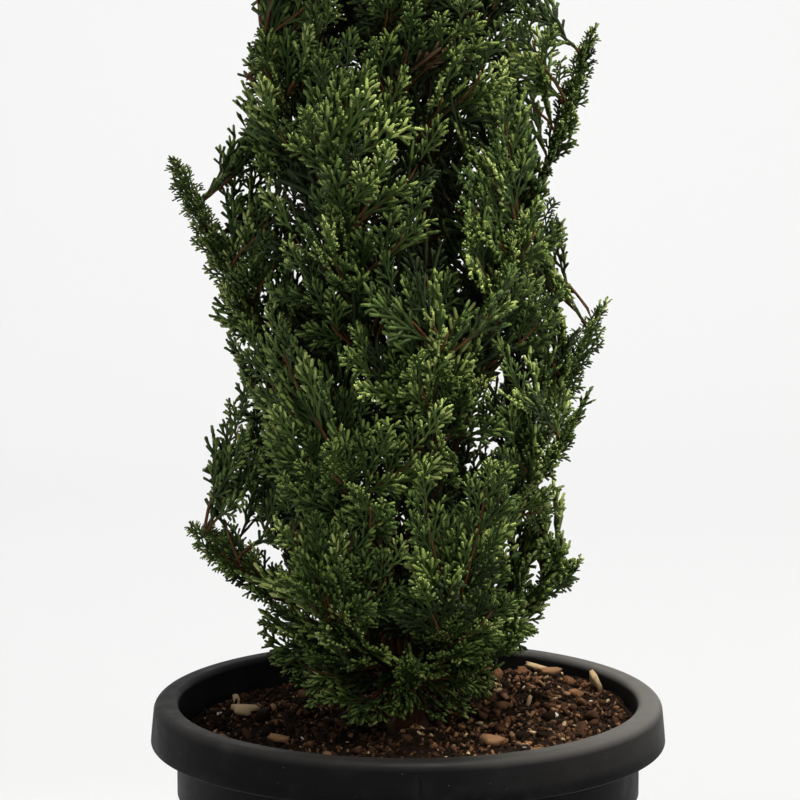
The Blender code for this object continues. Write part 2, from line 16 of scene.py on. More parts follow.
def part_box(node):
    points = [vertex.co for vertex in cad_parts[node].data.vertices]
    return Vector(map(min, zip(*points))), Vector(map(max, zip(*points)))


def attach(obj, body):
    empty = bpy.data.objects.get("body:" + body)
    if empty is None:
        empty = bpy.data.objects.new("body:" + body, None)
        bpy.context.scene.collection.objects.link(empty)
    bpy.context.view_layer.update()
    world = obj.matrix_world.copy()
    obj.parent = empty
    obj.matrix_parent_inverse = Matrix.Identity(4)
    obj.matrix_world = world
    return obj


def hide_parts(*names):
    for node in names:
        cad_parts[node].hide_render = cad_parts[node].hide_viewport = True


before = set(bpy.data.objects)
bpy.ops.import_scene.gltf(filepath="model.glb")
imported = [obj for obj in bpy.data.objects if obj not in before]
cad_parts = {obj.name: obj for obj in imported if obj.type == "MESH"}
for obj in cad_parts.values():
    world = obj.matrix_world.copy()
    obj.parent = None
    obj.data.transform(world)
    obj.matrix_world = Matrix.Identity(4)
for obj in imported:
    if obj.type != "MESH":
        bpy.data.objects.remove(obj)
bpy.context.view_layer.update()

bl_info = {
    "name": "Potted Cypress",
    "version": (1, 0, 0),
    "blender": (4, 5, 0),
    "location": "View3D > Sidebar > Cypress",
    "description": "Dresses a young cypress in its black nursery pot, twig by twig",
    "category": "Object",
}

MM = 0.001
UP = Vector((0.0, 0.0, 1.0))

# The pot's box comes from the model's pot part, and its other sizes are the model's own.
_, POT_HIGH = (Vector(corner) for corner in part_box("pot"))
POT_HEIGHT = POT_HIGH.z
RIM_RADIUS = POT_HIGH.x
RIM_SHOULDER_RADIUS = RIM_RADIUS - 1.4 * MM
RIM_HEIGHT = 20.5 * MM
RIM_ROUND = 5 * MM
LIP_RADIUS = 111.4 * MM
LIP_ROUND = 3 * MM
COLLAR_RADIUS = 112.4 * MM
COLLAR_HEIGHT = 26 * MM
STEP_RADIUS = 107 * MM
STEP_HEIGHT = 10 * MM
BASE_RADIUS = 90 * MM
BASE_ROUND = 3 * MM
WALL = 2 * MM
FLOOR = 2.5 * MM
DRAIN_COUNT = 8
DRAIN_RADIUS = 6 * MM
DRAIN_CIRCLE = 74 * MM
CLEAR = 0.3 * MM
SEAM_WIDTH = 0.5 * MM
SEAM_HEIGHT = 0.25 * MM
SEAM_BEVEL = 0.1 * MM
PROFILE_STEPS = 8
SHARP_ANGLE = math.radians(35)
MERGE = 0.02 * MM

# The potting mix.
SOIL_Z = POT_HEIGHT - 15 * MM
SOIL_LUMPS = 2.5 * MM
SOIL_LUMP_SIZE = 26 * MM
SOIL_RISE = 5 * MM
RISE_WAY = (0.8, 0.6)
SEAT_RADIUS = 17 * MM

# The trunk.
TRUNK_FOOT = SOIL_Z + CLEAR
TRUNK_TOP = 0.792
TRUNK_RADIUS = 6.6 * MM
TRUNK_TOP_RADIUS = 1.7 * MM
FLARE_RADIUS = 11 * MM
FLARE_HEIGHT = 16 * MM
FLARE_FALL = 3.0
TRUNK_BOW = 10 * MM
BOW_LOWER = 0.7
TRUNK_SWAY = 3 * MM
TRUNK_LEAN = 1 * MM
TRUNK_CLEAR = FLARE_RADIUS + 2 * MM

# The crown's reach from its axis, at heights above the mix, and its limbs.
CROWN_TOP = 0.905
CROWN_HEIGHTS = (0.0, 0.02, 0.04, 0.065, 0.09, 0.13, 0.25, 0.31, 0.37, 0.46, 0.55, 0.63, CROWN_TOP - SOIL_Z)
CROWN_REACHES = (0.056, 0.062, 0.069, 0.077, 0.085, 0.089, 0.089, 0.085, 0.081, 0.074, 0.062, 0.045, 0.018)
CROWN_CENTRE_X = -7 * MM
LIMB_COUNT = 27
BOUGH_COUNT = 21
LOWEST_TIP = 0.085
HIGHEST_TIP = 0.655
RISE_SLOPE = 0.62
RISE_START = 4 * MM
LONGEST_RISE = 0.19
REACH_RISE = 1.9
LEAST_RISE = 30 * MM
LIMB_BENDS = ((0.42, 0.27), (0.82, 0.63))
LIMB_SAMPLES = 24
TIP_ROOM = 12 * MM
SHORTEST_SHARE = 0.80
LONGEST_SHARE = 0.92
OUTER_FROM = 6
FOOT_WEIGHT = 0.6
LEADER_BEND = 2 * MM
LIMB_SEED = 11
AZIMUTH_TRIES = 48
SHOWN = (
    (178, 0.290, 0.109),
    (-4, 0.352, 0.096),
    (6, 0.212, 0.102),
    (-22, 0.172, 0.098),
    (12, 0.080, 0.092),
    (186, 0.103, 0.097),
    (-62, 0.064, 0.060),
    (-120, 0.068, 0.060),
    (84, 0.066, 0.060),
)
BOUGH_END = 0.34
BOUGH_RADIUS = 2.7 * MM
BOUGH_TOP_RADIUS = 1.5 * MM
BOUGH_END_SHARE = 0.62
STEM_END = 0.82
STEM_TIP_RADIUS = 0.5 * MM

# Branchlets on a limb's outer stretch, each with sprays.
BRANCHLET_FROM = 0.35
BRANCHLET_TO = 0.90
BRANCHLET_LENGTH = 46 * MM
BRANCHLET_SPREAD = math.radians(38)
BRANCHLET_LIFT = 0.6
BRANCHLET_STEPS = 8
BRANCHLET_RADIUS = 0.95 * MM
SHORTEST_BRANCHLET = 14 * MM

# Longer branchlets, each grown from the nearest limb below to an aim near the crown's side or in its middle.
AIM_LOW = 0.03
AIM_HIGH = 0.70
LEAST_CLIMB = 0.72
LEAST_RUN = 28 * MM
FOOT_SHOOTS = 30
FOOT_STEMS = 14

# Sprays.
SPRAY_STEP = 8.4 * MM
SPRAY_LENGTH = 32 * MM
SPRAY_ANGLE = math.radians(28)
SPRAY_LIFT = 0.22
SPRAY_TILT = 0.28
SPRAY_TAPER = 0.62
SPRAY_FACING = math.radians(38)
BARE_FOOT = 0.14
DEEP = 24 * MM

# The crown's side: its waves, how far it passes the model's reach, where less than nothing keeps it inside,
# how far a twig may stand out bare, how the foot draws in and stays off the mix, and an outer limb's plume.
EDGE_WAVE = 6 * MM
EDGE_SLACK = -3 * MM
TWIG_SLACK = 6 * MM
FOOT_DRAW = 17 * MM
FOOT_DRAW_HEIGHT = 0.05
FOLIAGE_CLEAR = 2 * MM
PLUME_RADIUS = 13 * MM
PLUME_NARROWING = 0.5
PLUME_SLACK = 2 * MM
PLUME_FROM = 0.45
PLUME_TO = 0.88
PLUME_STEP = 4 * MM
PLUME_LENGTH = 19 * MM

# Bays in the outline between its plumes: azimuth in degrees, height above the mix, depth, half the width in
# degrees and half the height. Where the depth is less than nothing, the outline stands out instead.
BAYS = (
    (0, 0.280, 0.016, 48, 0.024),
    (0, 0.183, 0.005, 40, 0.014),
    (0, 0.063, -0.009, 40, 0.020),
    (180, 0.350, 0.017, 45, 0.036),
    (180, 0.180, -0.004, 45, 0.030),
    (180, 0.085, 0.004, 40, 0.016),
)

# Where the sky shows through the crown, seen from the front: across, height above the mix, radius.
SKY_GAPS = (
    (-28 * MM, 0.139, 6 * MM),
    (-24 * MM, 0.126, 4 * MM),
    (40 * MM, 0.144, 7 * MM),
    (28 * MM, 0.130, 4 * MM),
    (30 * MM, 0.118, 4 * MM),
    (-78 * MM, 0.100, 8 * MM),
    (-63 * MM, 0.087, 6 * MM),
    (-37 * MM, 0.057, 5 * MM),
)

# The camera, from the rim's ellipse: the rim's 250 mm are 514 of the picture's 800 pixels.
SENSOR = 36.0
LENS = 152.6
CAMERA_PITCH = math.radians(9)
CAMERA_PLACE = Vector((-3.9 * MM, -1.607, 0.6008))


def srgb(code):
    """Linear red, green, blue and alpha of an sRGB colour written as a hex code."""
    shares = [int(code[i : i + 2], 16) / 255 for i in (1, 3, 5)]
    linear = [c / 12.92 if c <= 0.04045 else ((c + 0.055) / 1.055) ** 2.4 for c in shares]
    return (*linear, 1.0)


def add_node(tree, kind, inputs=None, **settings):
    """Adds a node and sets its properties. Each input is a fixed value, or the output that feeds it."""
    node = tree.nodes.new(kind)
    for name, value in settings.items():
        setattr(node, name, value)
    for socket, value in (inputs or {}).items():
        if isinstance(value, bpy.types.NodeSocket):
            tree.links.new(value, node.inputs[socket])
        else:
            node.inputs[socket].default_value = value
    return node


def object_place(tree, stretch=(1.0, 1.0, 1.0)):
    """Object coordinates, stretched along the axes."""
    place = add_node(tree, "ShaderNodeTexCoord").outputs["Object"]
    return add_node(tree, "ShaderNodeMapping", {"Vector": place, "Scale": stretch}).outputs["Vector"]


def noisy(tree, place, size, detail, roughness=0.5):
    """Noise in lumps of this size."""
    inputs = {"Vector": place, "Scale": 1 / size, "Detail": detail, "Roughness": roughness}
    return add_node(tree, "ShaderNodeTexNoise", inputs).outputs["Fac"]


def cells(tree, place, size):
    """How far it is to the middle of the nearest of many cells of this size."""
    return add_node(tree, "ShaderNodeTexVoronoi", {"Vector": place, "Scale": 1 / size}).outputs["Distance"]


def axis(tree, source, name):
    """One part, X, Y or Z, of a vector."""
    return add_node(tree, "ShaderNodeSeparateXYZ", {"Vector": source}).outputs[name]


def spanned(tree, source, low, high, to_low=0.0, to_high=1.0):
    """The source's values from low to high, spread from to_low to to_high."""
    inputs = {"Value": source, "From Min": low, "From Max": high, "To Min": to_low, "To Max": to_high}
    return add_node(tree, "ShaderNodeMapRange", inputs).outputs["Result"]


def combined(tree, operation, one, other):
    """Two values in one, by the Math node's operation."""
    return add_node(tree, "ShaderNodeMath", {0: one, 1: other}, operation=operation).outputs[0]


def blended(tree, factor, low, high):
    """The colour low where the factor is 0, and high where it is 1."""
    inputs = {"Factor": factor, "A": low, "B": high}
    return add_node(tree, "ShaderNodeMix", inputs, data_type="RGBA").outputs["Result"]


def bumped(tree, height, strength, distance, **under):
    """Relief of this height, over the Normal of other relief where that is given."""
    inputs = {"Height": height, "Strength": strength, "Distance": distance, **under}
    return add_node(tree, "ShaderNodeBump", inputs).outputs["Normal"]


def new_material(name, colour, roughness, specular=0.5):
    """A Principled material, with its node tree."""
    made = bpy.data.materials.new(name)
    made.use_nodes = True
    shader = made.node_tree.nodes["Principled BSDF"]
    values = {"Base Color": colour, "Roughness": roughness, "Specular IOR Level": specular}
    for socket, value in values.items():
        shader.inputs[socket].default_value = value
    made.diffuse_color = colour
    return made, made.node_tree


def dress(tree, colour, normal, **more):
    """Feeds the shader's colour, normal and any other input from nodes."""
    sources = {"Base Color": colour, "Normal": normal, **more}
    for socket, source in sources.items():
        tree.links.new(source, tree.nodes["Principled BSDF"].inputs[socket])


def moulded_polypropylene(settings):
    """Black injection-moulded polypropylene: a soft sheen over a fine grain. Dust lies on what faces up and
    in faint patches, with pale specks all over. On the upward faces the dust colour is also a painted sheen,
    lighter towards the right where the key light falls."""
    made, tree = new_material("moulded_polypropylene", settings.colour, settings.roughness, 0.05)
    place = object_place(tree)
    dust = noisy(tree, place, 16 * MM, 7.0, 0.68)
    patches = spanned(tree, dust, 0.50, 0.78, 0.0, 0.06)
    specks = spanned(tree, cells(tree, place, 7 * MM), 0.055, 0.035, 0.0, 0.5)
    normal = add_node(tree, "ShaderNodeNewGeometry").outputs["Normal"]
    # Dust on what faces up, which also paints a sheen: it grows lighter towards the right, where the key
    # light falls.
    upward = spanned(tree, axis(tree, normal, "Z"), 0.0, 0.8, 0.0, 0.8)
    painted_sheen_side = spanned(tree, axis(tree, place, "X"), 20 * MM, RIM_RADIUS, 0.08)
    dust_and_painted_sheen = combined(tree, "ADD", patches, combined(tree, "MULTIPLY", upward, painted_sheen_side))
    colour = blended(tree, combined(tree, "MAXIMUM", dust_and_painted_sheen, specks), settings.colour, settings.dust)
    sheen = spanned(tree, dust, 0.3, 0.7, settings.roughness - 0.07, settings.roughness + 0.12)
    broad = bumped(tree, noisy(tree, place, 35 * MM, 2.0), 0.25, 0.6 * MM)
    fine = bumped(tree, noisy(tree, place, 0.9 * MM, 3.0), 0.35, 0.06 * MM, Normal=broad)
    dress(tree, colour, fine, Roughness=sheen)
    return made


def composted_mix(settings):
    """Composted bark and peat: dark, matt and crumbly, in browns that change from crumb to crumb."""
    made, tree = new_material("composted_bark_and_peat", settings.dark, 0.95, 0.05)
    place = object_place(tree)
    lumps = noisy(tree, place, 5 * MM, 6.0, 0.7)
    colour = blended(tree, spanned(tree, lumps, 0.32, 0.70), settings.dark, settings.brown)
    rough = bumped(tree, cells(tree, place, 3.2 * MM), 0.9, 1.6 * MM)
    dress(tree, colour, bumped(tree, lumps, 0.6, 0.6 * MM, Normal=rough))
    return made


def fibrous_bark(settings):
    """Young cypress bark: thin red-brown fibres that run up the limb, with grey weathered strips."""
    made, tree = new_material("fibrous_cypress_bark", settings.bark, 0.85, 0.1)
    place = object_place(tree, (1.0, 1.0, 0.09))
    fibres = noisy(tree, place, 1.3 * MM, 5.0, 0.6)
    fresh = blended(tree, spanned(tree, fibres, 0.35, 0.68), settings.furrow, settings.bark)
    strips = spanned(tree, noisy(tree, place, 6 * MM, 3.0), 0.52, 0.72, 0.0, 0.7)
    dress(tree, blended(tree, strips, fresh, settings.weathered), bumped(tree, fibres, 0.7, 0.5 * MM))
    return made


def painted_studio_sweep(settings):
    """Matt white studio paint, so even that it shows only the light on it."""
    return new_material("matt_studio_paint", settings.backdrop, 0.9)[0]


def plain(name, code, roughness, specular=0.5):
    """One plain finish of something too small for a pattern of its own."""
    return new_material(name, srgb(code), roughness, specular)[0]


def leaf_finishes():
    """Living scale leaves, a little waxy: deep green outside, yellower at the growing tips, and a few browned
    off; inside the crown a painted shade makes them nearly black. Each spray takes one pair, for its body and
    its tips."""
    waxy = 0.15
    return [
        # Painted shade: a nearly black copy of the leaf for sprays deep inside the crown.
        plain("shaded_scale_leaf", "#1d280f", 0.65, waxy),
        plain("deep_scale_leaf", "#243211", 0.55, waxy),
        plain("green_scale_leaf", "#2f3e18", 0.52, waxy),
        plain("fresh_scale_leaf", "#3e4f21", 0.50, waxy),
        plain("deep_growing_tip", "#435523", 0.50, waxy),
        plain("green_growing_tip", "#617135", 0.48, waxy),
        plain("fresh_growing_tip", "#838f50", 0.46, waxy),
        plain("browned_scale_leaf", "#4e361a", 0.75),
    ]


def twig_finishes():
    """The thin bark of young twigs, in red-brown and grey-brown."""
    return [plain("red_brown_twig", "#50341f", 0.8, 0.1), plain("grey_brown_twig", "#46311d", 0.85, 0.1)]


# Pairs of finishes for a spray's body and its tips, and how often each is dealt out by how deep it lies.
# Sprays deep inside the crown mostly take the first pair, a painted shade.
LEAF_PAIRS = ((0, 0), (1, 4), (2, 5), (3, 6), (7, 7))
OUTER_SHARES = (0.03, 0.42, 0.37, 0.178, 0.002)
INNER_SHARES = (0.80, 0.176, 0.02, 0.0, 0.004)


def placed(name, data):
    """A new object in the scene."""
    made = bpy.data.objects.new(name, data)
    bpy.context.scene.collection.objects.link(made)
    return made


def new_piece(name, mesh, *materials):
    """A finished piece at the origin that rides on the one body."""
    mesh.name = name
    made = placed(name, mesh)
    for material in materials:
        mesh.materials.append(material)
    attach(made, "root")
    return made


def finished(shape, name):
    """The bmesh as a mesh, its doubles merged and its faces turned outwards."""
    bmesh.ops.remove_doubles(shape, verts=shape.verts, dist=MERGE)
    bmesh.ops.recalc_face_normals(shape, faces=shape.faces)
    mesh = bpy.data.meshes.new(name)
    shape.to_mesh(mesh)
    shape.free()
    return mesh


class Gathered:
    """Many small closed shapes gathered as arrays, to become one mesh."""

    def __init__(self):
        self.points, self.faces, self.finishes, self.count = [], [], [], 0

    def add(self, points, faces, finishes):
        self.points.append(np.asarray(points, np.float32))
        self.faces.append(np.asarray(faces, np.int32) + self.count)
        self.finishes.append(np.asarray(finishes, np.int32))
        self.count += len(points)

    def copies(self, points, faces, finishes, turns, places):
        """One copy of a shape for each turn and place. finishes has a row for each copy."""
        spread = np.einsum("kij,nj->kni", turns, points) + places[:, None]
        steps = np.arange(len(places))[:, None, None] * len(points)
        self.add(spread.reshape(-1, 3), (faces[None] + steps).reshape(-1, 3), finishes.reshape(-1))

    def mesh(self, name):
        points, faces = np.concatenate(self.points), np.concatenate(self.faces)
        made = bpy.data.meshes.new(name)
        made.vertices.add(len(points))
        made.vertices.foreach_set("co", points.ravel())
        made.loops.add(3 * len(faces))
        made.loops.foreach_set("vertex_index", faces.ravel())
        made.polygons.add(len(faces))
        made.polygons.foreach_set("loop_start", np.arange(0, 3 * len(faces), 3, dtype=np.int32))
        made.polygons.foreach_set("material_index", np.concatenate(self.finishes))
        made.update(calc_edges=True)
        return made


# The pot


def arc(centre_r, centre_z, radius, start, end, steps):
    """Points of an arc in the profile's plane, with angles in degrees from +r towards +z."""
    angles = [math.radians(start + (end - start) * i / steps) for i in range(steps + 1)]
    return [(centre_r + radius * math.cos(a), centre_z + radius * math.sin(a)) for a in angles]


def pot_inside(offset=0.0):
    """The pot's inner side from the floor up to the collar, moved off the wall by offset."""
    collar_foot = POT_HEIGHT - RIM_HEIGHT - COLLAR_HEIGHT
    inset = WALL + offset
    return [
        (BASE_RADIUS - BASE_ROUND - inset, FLOOR + offset),
        (BASE_RADIUS - inset, FLOOR + BASE_ROUND + offset),
        (STEP_RADIUS - inset, collar_foot - STEP_HEIGHT),
        (COLLAR_RADIUS - inset, collar_foot),
    ]


def pot_profile(fineness):
    """The whole section of the moulded wall: over the rim, down the outside, and up the inside to the lip."""
    skirt_foot = POT_HEIGHT - RIM_HEIGHT
    collar_foot = skirt_foot - COLLAR_HEIGHT
    step_foot = collar_foot - STEP_HEIGHT
    shoulder = RIM_SHOULDER_RADIUS - RIM_ROUND
    fold = WALL / 2
    return [
        *arc(shoulder, POT_HEIGHT - RIM_ROUND, RIM_ROUND, 90, 5, 2 * fineness),
        (RIM_RADIUS - 0.5 * MM, skirt_foot + 0.35 * RIM_HEIGHT),
        *arc(RIM_RADIUS - fold, skirt_foot + fold, fold, 0, -180, fineness),
        *arc(shoulder, POT_HEIGHT - RIM_ROUND, RIM_ROUND - WALL, 5, 90, fineness),
        *arc(COLLAR_RADIUS + LIP_ROUND, POT_HEIGHT - WALL - LIP_ROUND, LIP_ROUND, 90, 180, fineness),
        (COLLAR_RADIUS, collar_foot + MM),
        (COLLAR_RADIUS - MM, collar_foot),
        (STEP_RADIUS + MM, step_foot + MM),
        (STEP_RADIUS, step_foot - MM),
        *arc(BASE_RADIUS - BASE_ROUND, BASE_ROUND, BASE_ROUND, 0, -90, fineness),
        (0.0, 0.0),
        (0.0, FLOOR),
        *pot_inside(),
        *arc(LIP_RADIUS + LIP_ROUND, POT_HEIGHT - LIP_ROUND, LIP_ROUND, 180, 90, fineness),
    ]


def spun(profile, steps, closed):
    """A bmesh of a section spun a full turn about Z."""
    shape = bmesh.new()
    corners = [shape.verts.new((r, 0.0, z)) for r, z in profile]
    edges = [shape.edges.new(pair) for pair in zip(corners, corners[1:])]
    if closed:
        edges.append(shape.edges.new((corners[-1], corners[0])))
    turn = {"cent": (0, 0, 0), "axis": (0, 0, 1), "angle": math.tau, "steps": steps, "use_merge": True}
    bmesh.ops.spin(shape, geom=[*corners, *edges], **turn)
    return shape


def drain_drill():
    """One mesh of all the drain holes' cores."""
    shape = bmesh.new()
    for i in range(DRAIN_COUNT):
        angle = math.tau * (i + 0.5) / DRAIN_COUNT
        place = Matrix.Translation((DRAIN_CIRCLE * math.cos(angle), DRAIN_CIRCLE * math.sin(angle), 0.0))
        sizes = {"segments": 32, "radius1": DRAIN_RADIUS, "radius2": DRAIN_RADIUS, "depth": 4 * FLOOR}
        bmesh.ops.create_cone(shape, cap_ends=True, matrix=place, **sizes)
    return finished(shape, "drain_drill")


def mould_seams(settings):
    """The parting line's thin ribs down the skirt, one at the front and one at the back."""
    shape = bmesh.new()
    tall = RIM_HEIGHT - RIM_ROUND - 2 * MM
    for turn in (0.0, math.pi):
        rib = bmesh.ops.create_cube(shape, size=1.0)["verts"]
        bmesh.ops.scale(shape, verts=rib, vec=(SEAM_WIDTH, 4 * SEAM_HEIGHT, tall))
        out = (0.0, -(RIM_RADIUS - 1.5 * SEAM_HEIGHT), POT_HEIGHT - RIM_HEIGHT + MM + tall / 2)
        bmesh.ops.translate(shape, verts=rib, vec=out)
        turned = Matrix.Rotation(settings.seam_angle + turn, 3, "Z")
        bmesh.ops.rotate(shape, verts=rib, cent=(0, 0, 0), matrix=turned)
    bevel = {"offset": SEAM_BEVEL, "segments": 2, "profile": 0.5, "affect": "EDGES", "material": -1}
    bmesh.ops.bevel(shape, geom=shape.edges, **bevel)
    return finished(shape, "mould_seams")


def make_pot(settings):
    shape = spun(pot_profile(PROFILE_STEPS), settings.steps, True)
    rough = placed("pot_shape", finished(shape, "pot_shape"))
    drill = placed("drill", drain_drill())
    cut = rough.modifiers.new("drains", "BOOLEAN")
    cut.object = drill
    bpy.context.view_layer.update()
    mesh = bpy.data.meshes.new_from_object(rough.evaluated_get(bpy.context.evaluated_depsgraph_get()))
    mesh.materials.clear()
    for helper in (rough, drill):
        bpy.data.objects.remove(helper)
    mesh.shade_smooth()
    mesh.set_sharp_from_angle(angle=SHARP_ANGLE)
    plastic = moulded_polypropylene(settings)
    pot = new_piece("moulded_pot", mesh, plastic)
    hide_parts("pot")
    seams = new_piece("mould_seams", mould_seams(settings), plastic)


# The potting mix


def soil_height(x, y):
    """The mix's surface: flat under the trunk, rising to the right and back, and lumpy."""
    radius = math.hypot(x, y)
    away = min(1.0, max(0.0, (radius - SEAT_RADIUS) / SEAT_RADIUS))
    lumps = noise.noise(Vector((x, y, 0.37)) / SOIL_LUMP_SIZE)
    slope = (RISE_WAY[0] * x + RISE_WAY[1] * y) / COLLAR_RADIUS
    return SOIL_Z + away * (SOIL_LUMPS * lumps + SOIL_RISE * slope)


# Heaps on the surface: across, back, height, radius.
HEAPS = (
    (6 * MM, -42 * MM, 9 * MM, 21 * MM),
    (66 * MM, 52 * MM, 5 * MM, 36 * MM),
    (-72 * MM, 20 * MM, 3 * MM, 22 * MM),
    (-30 * MM, -62 * MM, 2 * MM, 18 * MM),
    (58 * MM, -40 * MM, 3 * MM, 20 * MM),
)

# Unevenness of the surface, down to its crumbs: length and height.
CRUMBLE = ((9 * MM, 1.5 * MM), (4 * MM, 0.8 * MM), (2 * MM, 0.4 * MM))


def mix_height(x, y):
    """The dressed surface: the model's, with heaps and with crumbs of a few sizes."""
    height = soil_height(x, y)
    for heap_x, heap_y, rise, radius in HEAPS:
        height += rise * math.exp(-((x - heap_x) ** 2 + (y - heap_y) ** 2) / radius**2)
    for size, rise in CRUMBLE:
        height += rise * noise.noise(Vector((x, y, 0.11)) / size)
    return height


def mix_surface(settings):
    edge = COLLAR_RADIUS - WALL - CLEAR
    top = [(edge * i / settings.rings, SOIL_Z) for i in range(settings.rings + 1)]
    section = [*top, *reversed(pot_inside(CLEAR)), (0.0, FLOOR + CLEAR)]
    shape = spun(section, settings.steps, False)
    bmesh.ops.remove_doubles(shape, verts=shape.verts, dist=MERGE)
    for vertex in shape.verts:
        if vertex.co.z > SOIL_Z - MM:
            vertex.co.z = mix_height(vertex.co.x, vertex.co.y)
    return finished(shape, "mix_surface")


# How a chip is rounded, narrowed at its ends, dented and bowed, as shares of its length.
CHIP_ROUNDING = 0.35
CHIP_TAPER = 0.55
CHIP_DENT = 0.13
CHIP_BOW = 0.25


def chip_shape(rng, flat, small):
    """A broken chip of bark: a block, rounded, dented and tapered at random. A crumb is a plainer lump."""
    shape = bmesh.new()
    if small:
        bmesh.ops.create_icosphere(shape, subdivisions=1, radius=0.5)
    else:
        bmesh.ops.create_cube(shape, size=1.0)
        bmesh.ops.subdivide_edges(shape, edges=shape.edges, cuts=1, use_grid_fill=True)
        axes = {"use_axis_x": True, "use_axis_y": True, "use_axis_z": True}
        bmesh.ops.smooth_vert(shape, verts=shape.verts, factor=CHIP_ROUNDING, **axes)
    for vertex in shape.verts:
        x, y, z = vertex.co
        taper = 1.0 - CHIP_TAPER * abs(x)
        dent = [rng.uniform(-CHIP_DENT, CHIP_DENT) for _ in range(3)]
        bow = CHIP_BOW * flat * math.sin(3 * x)
        vertex.co = Vector((x + dent[0], (y + dent[1]) * taper, (z + dent[2]) * flat + bow))
    bmesh.ops.triangulate(shape, faces=shape.faces)
    bmesh.ops.recalc_face_normals(shape, faces=shape.faces)
    points = np.array([v.co for v in shape.verts], np.float32)
    faces = np.array([[v.index for v in f.verts] for f in shape.faces], np.int32)
    shape.free()
    return points, faces


def chip_finishes():
    """Composted bark chips from nearly black to pale split wood, and white expanded perlite."""
    matt = 0.04
    return [
        plain("black_bark_chip", "#18110b", 0.95, matt),
        plain("brown_bark_chip", "#38261a", 0.92, matt),
        plain("red_bark_chip", "#563c29", 0.9, matt),
        plain("tan_bark_chip", "#71553d", 0.88, matt),
        plain("pale_split_wood", "#978263", 0.8, matt),
        plain("expanded_perlite", "#b0aca1", 0.9, matt),
    ]


# How often each finish is dealt out: among peat, darkened as painted shade at the left; among bark, lightened
# as painted light at the right; and among the crumbs.
PEAT_AND_SHADE_SHARES = (0.62, 0.29, 0.06, 0.02, 0.006, 0.004)
BARK_AND_LIGHT_SHARES = (0.30, 0.26, 0.22, 0.16, 0.05, 0.01)
CRUMB_SHARES = (0.46, 0.28, 0.15, 0.09, 0.02)
PERLITE = 5

# A form for each flatness. A chip has the least length and a random rest, up to the most, in millimetres.
CHIP_FLATS = (0.4, 0.55, 0.7, 0.85)
CRUMB_FLATS = (0.9, 0.7, 0.55)
CHIP_LEAST, CHIP_REST, CHIP_MOST = 2.0, 1.5, 9.0
PERLITE_LENGTHS = (2.0, 3.4)
CRUMB_LENGTHS = (1.4, 3.4)
CHIP_TILT = 0.6
CRUMB_TILT = 1.0
CHIP_LIFT = 0.12
LONE_LIFT = 0.3

# The mix turns from dark peat at the left to lighter bark at the right over about this width: a painted light
# that falls from the right.
PAINTED_LIGHT_SPAN = 110 * MM

# Chips that stand out: across, back, length, turn, tilt, finish.
LONE_CHIPS = (
    (-80 * MM, 20 * MM, 12 * MM, 20, 10, 4),
    (66 * MM, 76 * MM, 12 * MM, -15, 14, 4),
    (72 * MM, 66 * MM, 11 * MM, 30, 8, 3),
    (94 * MM, 46 * MM, 11 * MM, 70, 70, 4),
    (-62 * MM, -28 * MM, 11 * MM, -30, 6, 3),
    (40 * MM, -42 * MM, 10 * MM, 40, 12, 3),
)


def scattered(rng, edge):
    """A point on the mix, spread evenly, clear of the trunk's foot."""
    while True:
        x, y = rng.uniform(-edge, edge), rng.uniform(-edge, edge)
        if TRUNK_CLEAR < math.hypot(x, y) < edge:
            return x, y


def bark_chips(settings):
    """Chips and crumbs, pressed into the surface at every turn."""
    rng = random.Random("chips")
    forms = [chip_shape(rng, flat, False) for flat in CHIP_FLATS]
    forms += [chip_shape(rng, flat, True) for flat in CRUMB_FLATS]
    rows = [([], [], []) for _ in forms]
    edge = COLLAR_RADIUS - WALL - 5 * MM

    def lay(form, x, y, length, tilt, spin, finish, lift=CHIP_LIFT):
        turn = Matrix.Rotation(spin, 3, "Z") @ Matrix.Rotation(tilt, 3, "Y")
        turn = turn @ Matrix.Rotation(tilt * 0.6, 3, "X")
        wide = length * rng.uniform(0.35, 0.85)
        turns, places, finishes = rows[form]
        turns.append(turn @ Matrix.Diagonal((length, wide, wide)))
        places.append((x, y, mix_height(x, y) + lift * length))
        finishes.append(finish)

    for _ in range(settings.chips):
        x, y = scattered(rng, edge)
        length = min(CHIP_MOST, CHIP_LEAST + rng.expovariate(1 / CHIP_REST)) * MM
        # Chips towards the right take lighter finishes and those to the left darker ones, as painted light
        # from the right.
        painted_lit_bark = rng.random() < 0.5 + x / PAINTED_LIGHT_SPAN
        finish = rng.choices(range(PERLITE + 1), BARK_AND_LIGHT_SHARES if painted_lit_bark else PEAT_AND_SHADE_SHARES)[0]
        if finish == PERLITE:
            length = rng.uniform(*PERLITE_LENGTHS) * MM
        form = rng.randrange(len(CHIP_FLATS))
        lay(form, x, y, length, rng.gauss(0, CHIP_TILT), rng.uniform(0, math.tau), finish)
    for _ in range(settings.crumbs):
        x, y = scattered(rng, edge + 2 * MM)
        finish = rng.choices(range(PERLITE), CRUMB_SHARES)[0]
        form = rng.randrange(len(CHIP_FLATS), len(forms))
        length = rng.uniform(*CRUMB_LENGTHS) * MM
        lay(form, x, y, length, rng.gauss(0, CRUMB_TILT), rng.uniform(0, math.tau), finish)
    for x, y, length, spin, tilt, finish in LONE_CHIPS:
        lay(0, x, y, length, math.radians(tilt), math.radians(spin), finish, LONE_LIFT)
    gathered = Gathered()
    for (points, faces), (turns, places, finishes) in zip(forms, rows):
        dealt = np.repeat(np.array(finishes)[:, None], len(faces), axis=1)
        gathered.copies(points, faces, dealt, np.array(turns), np.array(places))
    return gathered.mesh("bark_chips")


def make_mix(settings):
    mesh = mix_surface(settings)
    mesh.shade_smooth()
    surface = new_piece("mix_surface", mesh, composted_mix(settings))
    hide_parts("potting_mix")
    chips = new_piece("bark_chips", bark_chips(settings), *chip_finishes())


# The limbs, by the model's own rule


